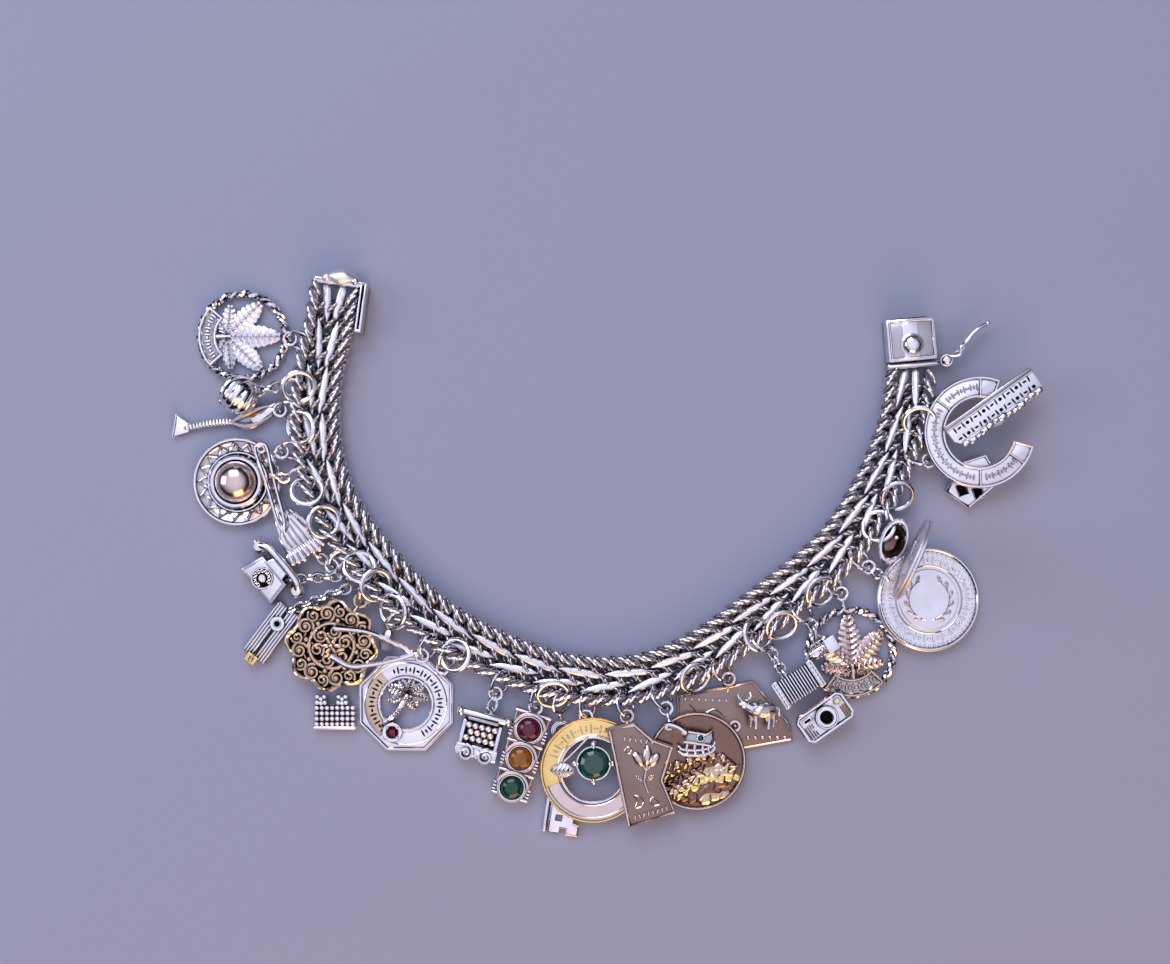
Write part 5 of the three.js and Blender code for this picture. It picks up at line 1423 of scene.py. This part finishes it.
def grown(name, route, tree, values):
    """The plain mesh that a node tree grows along a route, with its modifier gone."""
    guide = bpy.data.meshes.new(name + "_route")
    edges = [(i, i + 1) for i in range(len(route) - 1)]
    guide.from_pydata(((route + ORIGIN) * MM).tolist(), edges, [])
    holder = bpy.data.objects.new(name + "_route", guide)
    bpy.context.collection.objects.link(holder)
    modifier = holder.modifiers.new("grow", "NODES")
    modifier.node_group = tree
    for item in tree.interface.items_tree:
        if item.item_type == "SOCKET" and item.in_out == "INPUT" and item.name in values:
            modifier[item.identifier] = values[item.name]
    bpy.context.view_layer.update()
    depsgraph = bpy.context.evaluated_depsgraph_get()
    mesh = bpy.data.meshes.new_from_object(holder.evaluated_get(depsgraph))
    mesh.name = name
    bpy.data.objects.remove(holder)
    bpy.data.meshes.remove(guide)
    piece = bpy.data.objects.new(name, mesh)
    bpy.context.collection.objects.link(piece)
    return piece


def turn_of(tree, **angles):
    """A rotation by angles, or sockets of angles, about X, Y and Z."""
    about = add(tree, "ShaderNodeCombineXYZ", angles)
    return add(tree, "FunctionNodeEulerToRotation", {0: about.outputs[0]}).outputs[0]


def set_along(tree, given, link, *turns):
    """Ends a tree: a real copy of a link at every step of its route, in its finish.

    A link's X follows the route, and then it makes each of the turns about its own axes.
    """
    line = add(tree, "GeometryNodeMeshToCurve", {"Mesh": given["Geometry"]})
    spots = add(tree, "GeometryNodeResampleCurve",
                {"Curve": line.outputs[0], "Length": given["Link spacing"]}, mode="LENGTH")
    tangent = add(tree, "GeometryNodeInputTangent").outputs[0]
    rotation = add(tree, "FunctionNodeAlignRotationToVector", {"Vector": tangent},
                   axis="X", pivot_axis="Z").outputs[0]
    for turn in turns:
        rotation = add(tree, "FunctionNodeRotateRotation",
                       {"Rotation": rotation, "Rotate By": turn},
                       rotation_space="LOCAL").outputs[0]
    placed = add(tree, "GeometryNodeInstanceOnPoints",
                 {"Points": spots.outputs[0], "Instance": link, "Rotation": rotation})
    real = add(tree, "GeometryNodeRealizeInstances", {"Geometry": placed.outputs[0]})
    dressed = add(tree, "GeometryNodeSetMaterial",
                  {"Geometry": real.outputs[0], "Material": given["Material"]})
    add(tree, "NodeGroupOutput", {"Geometry": dressed.outputs[0]})


def rope_tree():
    """Round wire links, each leaning along the strand, every other one turned a little."""
    tree, given = node_group("rope_strand", Link_spacing="Float", Link_radius="Float",
                             Wire_radius="Float", Lean="Float",
                             Turn_of_every_other_link="Float", Material="Material")
    loop = add(tree, "GeometryNodeCurvePrimitiveCircle",
               {"Resolution": 12, "Radius": given["Link radius"]}, mode="RADIUS")
    section = add(tree, "GeometryNodeCurvePrimitiveCircle",
                  {"Resolution": 6, "Radius": given["Wire radius"]}, mode="RADIUS")
    link = add(tree, "GeometryNodeCurveToMesh",
               {"Curve": loop.outputs[0], "Profile Curve": section.outputs[0]})
    smooth = add(tree, "GeometryNodeSetShadeSmooth", {"Geometry": link.outputs[0]})
    every_other = add(tree, "ShaderNodeMath",
                      {0: add(tree, "GeometryNodeInputIndex").outputs[0], 1: 2.0},
                      operation="MODULO")
    half_way = add(tree, "ShaderNodeMath", {0: every_other.outputs[0], 1: 0.5},
                   operation="SUBTRACT")
    turn = add(tree, "ShaderNodeMath",
               {0: half_way.outputs[0], 1: given["Turn of every other link"]},
               operation="MULTIPLY")
    set_along(tree, given, smooth.outputs[0], turn_of(tree, X=turn.outputs[0]),
              turn_of(tree, Z=given["Lean"]), Euler((0, math.pi / 2, 0)))
    return tree


def link_tree():
    """A copy of one flat link at every step, leaning to one side and lapped like shingles."""
    tree, given = node_group("flat_links", Link_spacing="Float", Slant="Float", Lap="Float",
                             Link="Object", Material="Material")
    shape = add(tree, "GeometryNodeObjectInfo", {"Object": given["Link"]},
                transform_space="ORIGINAL")
    set_along(tree, given, shape.outputs["Geometry"],
              turn_of(tree, Z=given["Slant"], Y=given["Lap"]))
    return tree


# ---------------------------------------------------------------------------- settings
class ChainSettings(bpy.types.PropertyGroup):
    """Sizes of the rope strands and flat links."""

    link_spacing: FloatProperty(name="Rope link spacing", unit="LENGTH", default=1.42 * MM,
                                description="Step from one round link to the next")
    link_radius: FloatProperty(name="Rope link radius", unit="LENGTH", default=1.5 * MM,
                               description="Round link, to the middle of its wire")
    wire_radius: FloatProperty(name="Rope wire radius", unit="LENGTH", default=0.33 * MM,
                               description="Radius of the wire of the round links")
    turn: FloatProperty(name="Turn of every other link", subtype="ANGLE", default=math.radians(26),
                        description="Turn round the strand from one link to its neighbours")
    flat_length: FloatProperty(name="Flat link length", unit="LENGTH", default=8.8 * MM,
                               description="Length of one flat pointed link")
    flat_width: FloatProperty(name="Flat link width", unit="LENGTH", default=1.05 * MM,
                              description="Width of one flat pointed link at its middle")
    flat_spacing: FloatProperty(name="Flat link spacing", unit="LENGTH", default=7.8 * MM,
                                description="Step from one flat link to the next in its row")
    slant: FloatProperty(name="Flat link slant", subtype="ANGLE", default=math.radians(10),
                         description="Angle of a flat link to the chain's middle line")


class FinishSettings(bpy.types.PropertyGroup):
    """Colours of the metals and the stones."""

    polished: FloatVectorProperty(name="Polished silver", subtype="COLOR", size=4,
                                  default=rgb("f2f0f3"), description="Polished silver")
    frosted: FloatVectorProperty(name="Frosted silver", subtype="COLOR", size=4,
                                 default=rgb("f8f7fd"), description="Satin white silver")
    # Its darker tone also stands in for painted shade on the sunk links and the ridge bar's back
    # bar.
    oxidised: FloatVectorProperty(name="Oxidised silver", subtype="COLOR", size=4,
                                  default=rgb("bdb9bb"), description="High points of dark silver")
    # This black also paints the shade in recesses and the shadow on the dark sheets under open
    # work.
    oxide: FloatVectorProperty(name="Oxide", subtype="COLOR", size=4,
                               default=rgb("121114"), description="Black oxide in recesses")
    # On the blossom plate this brown is a painted reflection.
    tarnished: FloatVectorProperty(name="Tarnished silver", subtype="COLOR", size=4,
                                   default=rgb("937f75"), description="Brown satin silver")
    # In the bell's throat this brown is a painted reflection and painted shade.
    bronzed: FloatVectorProperty(name="Bronzed silver", subtype="COLOR", size=4,
                                 default=rgb("85695c"), description="Glossy brown silver")
    # On the octagon's left arc this rose gold is a painted warm reflection.
    aged_gold: FloatVectorProperty(name="Aged rose gilding", subtype="COLOR", size=4,
                                   default=rgb("dcc3a6"), description="Worn rose gilding")
    # On the sombrero's crown and the birthstone ring this pink is a painted warm reflection.
    rosy: FloatVectorProperty(name="Rosy silver", subtype="COLOR", size=4,
                              default=rgb("e6d0c8"), description="Pinkish silver")
    # On the birthstone ring this gold is a painted warm reflection.
    gilt: FloatVectorProperty(name="Yellow gilding", subtype="COLOR", size=4,
                              default=rgb("ffdb8e"), description="Bright yellow gilding")
    ruby: FloatVectorProperty(name="Red stone", subtype="COLOR", size=4,
                              default=rgb("700a30"), description="Red glass")
    amber: FloatVectorProperty(name="Amber stone", subtype="COLOR", size=4,
                               default=rgb("b8700a"), description="Amber glass")
    emerald: FloatVectorProperty(name="Green stone", subtype="COLOR", size=4,
                                 default=rgb("06543c"), description="Green glass")


class StageSettings(bpy.types.PropertyGroup):
    """Floor, light and camera."""

    floor_colour: FloatVectorProperty(name="Floor colour", subtype="COLOR", size=4,
                                      default=rgb("9093a4"), description="Colour of the table")
    sky_colour: FloatVectorProperty(name="Sky light", subtype="COLOR", size=4,
                                    default=rgb("d2d5ee"), description="Colour of the soft light")
    warm_colour: FloatVectorProperty(name="Low light", subtype="COLOR", size=4,
                                     default=rgb("ffc58a"), description="Colour of the low light")
    height: FloatProperty(name="Camera height", unit="LENGTH", default=0.286,
                          description="Height of the camera over the table")


# ---------------------------------------------------------------------------- operators
class BRACELET_OT_rope_strands(bpy.types.Operator):
    """Grow the two rope strands of round wire links"""

    bl_idname = "bracelet.rope_strands"
    bl_label = "Rope strands"

    def execute(self, context):
        sizes = context.scene.bracelet_chain
        tree = rope_tree()
        for name, side in (("outer", -1), ("inner", 1)):
            route = beside(side * STRAND_OFFSET) + [0, 0, STRAND_RISE]
            piece = grown("rope_chain_" + name, route, tree, {
                "Link spacing": sizes.link_spacing, "Link radius": sizes.link_radius,
                "Wire radius": sizes.wire_radius, "Turn of every other link": sizes.turn,
                "Lean": math.radians(side * ROPE_LEAN), "Material": finish("drawn")})
            finish_piece(piece, "silver_dark", "rope_strand_" + name)
        return {"FINISHED"}


def flat_link(length, width):
    """A pointed link, crowned across, with its map along and across in steps of its lines."""
    thick, lines = 0.75, 2.2
    along = np.linspace(-1, 1, 13)
    across = np.linspace(-1, 1, 5)
    points, uv = [], []
    for side in (1, -1):
        for s in along:
            half = width / 2 * max(1 - abs(s) ** 2.6, 0.0) ** 0.8 + 0.12
            for c in across:
                rise = thick / 2 * (1 - 0.75 * c * c) * (1 - 0.35 * s * s)
                points.append((s * length / 2, c * half, side * rise))
                uv.append((s * length / 2 * lines, c * half * lines))
    return Form(points, skin_faces(len(along), len(across)), "hatched", np.array(uv))


class BRACELET_OT_flat_links(bpy.types.Operator):
    """Grow the two rows of flat pointed links between the strands"""

    bl_idname = "bracelet.flat_links"
    bl_label = "Flat links"

    def execute(self, context):
        sizes = context.scene.bracelet_chain
        tree = link_tree()
        pattern = solid("flat_link_pattern",
                        [flat_link(sizes.flat_length / MM, sizes.flat_width / MM)], sharp=50)
        for name, side, lean in (("outer", -1, 1), ("inner", 1, -0.5)):
            piece = grown("flat_links_" + name, beside(side * FLAT_OFFSET)[4:-4], tree, {
                "Link spacing": sizes.flat_spacing, "Slant": lean * sizes.slant,
                "Lap": math.radians(FLAT_LAP), "Link": pattern, "Material": finish("hatched")})
            finish_piece(piece, "silver_bright", "bar_links_" + name)
        bpy.data.objects.remove(pattern)
        return {"FINISHED"}


class BRACELET_OT_dark_links(bpy.types.Operator):
    """Grow the small links that join the strands and the flat links from beneath, sunk and dark as
    painted shade in the gaps
    """

    bl_idname = "bracelet.dark_links"
    bl_label = "Dark links"

    def execute(self, context):
        sizes = context.scene.bracelet_chain
        tree = rope_tree()
        for i, offset in enumerate(DARK_OFFSETS):
            # These sunk links in the dark finish paint the shade in the gaps between the strands
            # and the flat links.
            piece = grown(f"dark_links_{i}", beside(offset)[6:-6] - [0, 0, DARK_DROP], tree, {
                "Link spacing": sizes.link_spacing, "Link radius": sizes.link_radius * 0.55,
                "Wire radius": sizes.wire_radius * 0.85, "Lean": math.radians(DARK_LEAN),
                "Turn of every other link": math.radians(DARK_TURN),
                "Material": finish("oxidised")})
            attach(piece, BODY)
        return {"FINISHED"}


class BRACELET_OT_clasp(bpy.types.Operator):
    """Build the clasp's box, its tongue and the safety catch on its pin"""

    bl_idname = "bracelet.clasp"
    bl_label = "Clasp"

    def execute(self, context):
        for name, forms, place, body in (("clasp_box", clasp_box(), BOX_PLACE, BODY),
                                         ("clasp_tongue", clasp_tongue(), TONGUE_PLACE, BODY),
                                         ("safety_catch", safety_catch(), CATCH_PLACE, CATCH_BODY)):
            there = [form.by(place.matrix).moved(*ORIGIN) for form in forms]
            finish_piece(solid("bright_" + name, there), SLOT_OF[name], name, body=body)
        return {"FINISHED"}


class BRACELET_OT_jump_rings(bpy.types.Operator):
    """Build the round jump rings that carry the charms, and the spare ones between them"""

    bl_idname = "bracelet.jump_rings"
    bl_label = "Jump rings"

    def execute(self, context):
        ring = hoop(RING_RADIUS, CARRIER_WIRE, 40, 10)
        for name, place in PLACES.items():
            if place.hang and not place.soldered:
                there = ring.by(ring_frame(place.hang)[1]).moved(*ORIGIN).of("rings")
                node = "jump_ring_" + name
                finish_piece(solid("round_" + node, [there]), SLOT_OF[node], node)
        piece = solid("spare_jump_rings", [
            ring.scaled(*SPARE_SIZE).by(place.matrix).moved(*ORIGIN).of("rings")
            for place in SPARE_RINGS])
        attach(piece, BODY)
        return {"FINISHED"}


class BRACELET_OT_leaf_discs(bpy.types.Operator):
    """Build the two open discs that frame a lobed leaf"""

    bl_idname = "bracelet.leaf_discs"
    bl_label = "Leaf discs"

    def execute(self, context):
        build_charm("leaf_disc_left", leaf_disc("frosted"))
        build_charm("leaf_disc_right", leaf_disc("rosy", "aged_gold"))
        return {"FINISHED"}


class BRACELET_OT_round_charms(bpy.types.Operator):
    """Build the hat, rosette, birthstone ring, medallion, coin, medal, bell and ball"""

    bl_idname = "bracelet.round_charms"
    bl_label = "Round charms"

    def execute(self, context):
        build_charms(sombrero)
        build_charms(filigree_rosette, shine="aged_gold")
        build_charms(birthstone_ring, medallion, coin_on_edge, medal, bell, ribbed_ball)
        return {"FINISHED"}


class BRACELET_OT_flat_charms(bpy.types.Operator):
    """Build the flat charms that are cut from sheet and carry reliefs"""

    bl_idname = "bracelet.flat_charms"
    bl_label = "Flat charms"

    def execute(self, context):
        build_charms(octagon_palm)
        build_charms(blossom_plate, dotted_plate, shine="rosy")
        build_charms(horseshoe, ridge_bar, window_frame, flat_key)
        return {"FINISHED"}


class BRACELET_OT_machine_charms(bpy.types.Operator):
    """Build the small machines: telephone, typewriter, signal light, camera and others"""

    bl_idname = "bracelet.machine_charms"
    bl_label = "Machine charms"

    def execute(self, context):
        build_charms(telephone, typewriter, signal_light, camera, squeezebox, engine)
        return {"FINISHED"}


class BRACELET_OT_small_figures(bpy.types.Operator):
    """Build the small cast figures: hands, animal, sleigh, keep and the slender charms"""

    bl_idname = "bracelet.small_figures"
    bl_label = "Small figures"

    def execute(self, context):
        build_charms(folded_hands, horned_animal, sleigh, beaded_keep, wishbone, crystal_drop,
                     long_loop, twisted_stem, groove_bars)
        return {"FINISHED"}


class BRACELET_OT_stones(bpy.types.Operator):
    """Set the cut stones in their seats"""

    bl_idname = "bracelet.stones"
    bl_label = "Stones"

    def execute(self, context):
        lamp = round_stone(LAMP_RADIUS, 1.1)
        lamps = zip(("lamp_red", "lamp_amber", "lamp_green"), ("ruby", "amber", "emerald"), LAMP_Y)
        stones = [(name, lamp.of(glass).moved(0, y, LAMP_SEAT), "signal_light")
                  for name, glass, y in lamps]
        stones.append(("solitaire_green", solitaire().of("big_emerald").moved(*SOLITAIRE, 0.2),
                       "birthstone_ring"))
        stones.append(("palm_ruby", round_stone(0.95, 0.7).of("ruby").moved(*PALM_STONE, 1.4),
                       "octagon_palm"))
        for name, form, setting in stones:
            there = form.by(PLACES[setting].matrix).moved(*ORIGIN)
            finish_piece(solid("cut_" + name, [there], sharp=10), SLOT_OF[name], name)
        return {"FINISHED"}


# The point of the table, in metres, that the camera is straight above.
CAMERA_OVER = (-3.29 * MM, 12.44 * MM)


class BRACELET_OT_stage(bpy.types.Operator):
    """Set out the floor, the soft light and the camera"""

    bl_idname = "bracelet.stage"
    bl_label = "Stage"

    def execute(self, context):
        looks = context.scene.bracelet_stage
        bpy.ops.mesh.primitive_plane_add(size=3.0)
        floor = context.object
        floor.name = "floor"
        material, tree = new_material("plain_table")
        shader = add(tree, "ShaderNodeBsdfPrincipled",
                     {"Base Color": looks.floor_colour, "Roughness": 0.85})
        close_material(tree, shader)
        floor.data.materials.append(material)
        self.sky(context.scene, looks)
        lamps = (
            ("sky_panel", (-0.15, 0.55, 0.6), (0.0, 0.0, 0.0), 0.5, 4.0, looks.sky_colour),
            ("side_panel", (-0.7, 0.1, 0.45), (0.0, 0.0, 0.0), 0.4, 2.4, looks.sky_colour),
            ("low_panel", (0.12, -0.6, 0.28), (0.0, -0.03, 0.0), 0.5, 3.2, looks.warm_colour),
        )
        for name, place, target, size, power, colour in lamps:
            data = bpy.data.lights.new(name, "AREA")
            data.size, data.energy, data.color = size, power, colour[:3]
            lamp = bpy.data.objects.new(name, data)
            lamp.location = place
            aim = Vector(target) - Vector(place)
            lamp.rotation_euler = aim.to_track_quat("-Z", "Y").to_euler()
            context.collection.objects.link(lamp)
        camera_data = bpy.data.cameras.new("camera")
        camera_data.lens, camera_data.sensor_width = 50, 36
        camera_data.clip_start = 0.01
        camera = bpy.data.objects.new("camera", camera_data)
        camera.location = (*CAMERA_OVER, looks.height)
        context.collection.objects.link(camera)
        context.scene.camera = camera
        return {"FINISHED"}

    @staticmethod
    def sky(scene, looks):
        """A soft sky: pale overhead, darker towards the horizon."""
        world = bpy.data.worlds.new("soft_room")
        world.use_nodes = True
        tree = world.node_tree
        tree.nodes.clear()
        way = add(tree, "ShaderNodeTexCoord").outputs["Generated"]
        height = add(tree, "ShaderNodeSeparateXYZ", {0: way})
        level = add(tree, "ShaderNodeMapRange",
                    {"Value": height.outputs["Z"], "From Min": 0.42, "From Max": 0.98,
                     "To Min": 0.012, "To Max": 1.5})
        light = add(tree, "ShaderNodeBackground",
                    {"Color": looks.sky_colour, "Strength": level.outputs[0]})
        add(tree, "ShaderNodeOutputWorld", {"Surface": light.outputs[0]})
        scene.world = world
        scene.view_settings.view_transform = "Standard"


class BRACELET_PT_panel(bpy.types.Panel):
    """Lists the pieces and their sizes"""

    bl_idname = "BRACELET_PT_panel"
    bl_label = "Charm bracelet"
    bl_space_type = "VIEW_3D"
    bl_region_type = "UI"
    bl_category = "Bracelet"

    def draw(self, context):
        scene = context.scene
        for settings in (scene.bracelet_chain, scene.bracelet_finish, scene.bracelet_stage):
            for key in settings.bl_rna.properties.keys():
                if key not in ("rna_type", "name"):
                    self.layout.prop(settings, key)
        for operator in OPERATORS:
            self.layout.operator(operator.bl_idname)


OPERATORS = (BRACELET_OT_stage, BRACELET_OT_rope_strands, BRACELET_OT_flat_links,
             BRACELET_OT_dark_links, BRACELET_OT_clasp, BRACELET_OT_jump_rings,
             BRACELET_OT_leaf_discs, BRACELET_OT_round_charms, BRACELET_OT_flat_charms,
             BRACELET_OT_machine_charms, BRACELET_OT_small_figures, BRACELET_OT_stones)
CLASSES = (ChainSettings, FinishSettings, StageSettings, *OPERATORS, BRACELET_PT_panel)


def register():
    """Registers the classes and puts the settings on the scene."""
    for kind in CLASSES:
        bpy.utils.register_class(kind)
    bpy.types.Scene.bracelet_chain = PointerProperty(type=ChainSettings)
    bpy.types.Scene.bracelet_finish = PointerProperty(type=FinishSettings)
    bpy.types.Scene.bracelet_stage = PointerProperty(type=StageSettings)


def unregister():
    """Takes the settings and the classes away again."""
    del bpy.types.Scene.bracelet_chain
    del bpy.types.Scene.bracelet_finish
    del bpy.types.Scene.bracelet_stage
    for kind in reversed(CLASSES):
        bpy.utils.unregister_class(kind)


def main():
    """Builds every piece in order."""
    register()
    for operator in OPERATORS:
        group, name = operator.bl_idname.split(".")
        getattr(getattr(bpy.ops, group), name)()


if __name__ == "__main__":
    main()
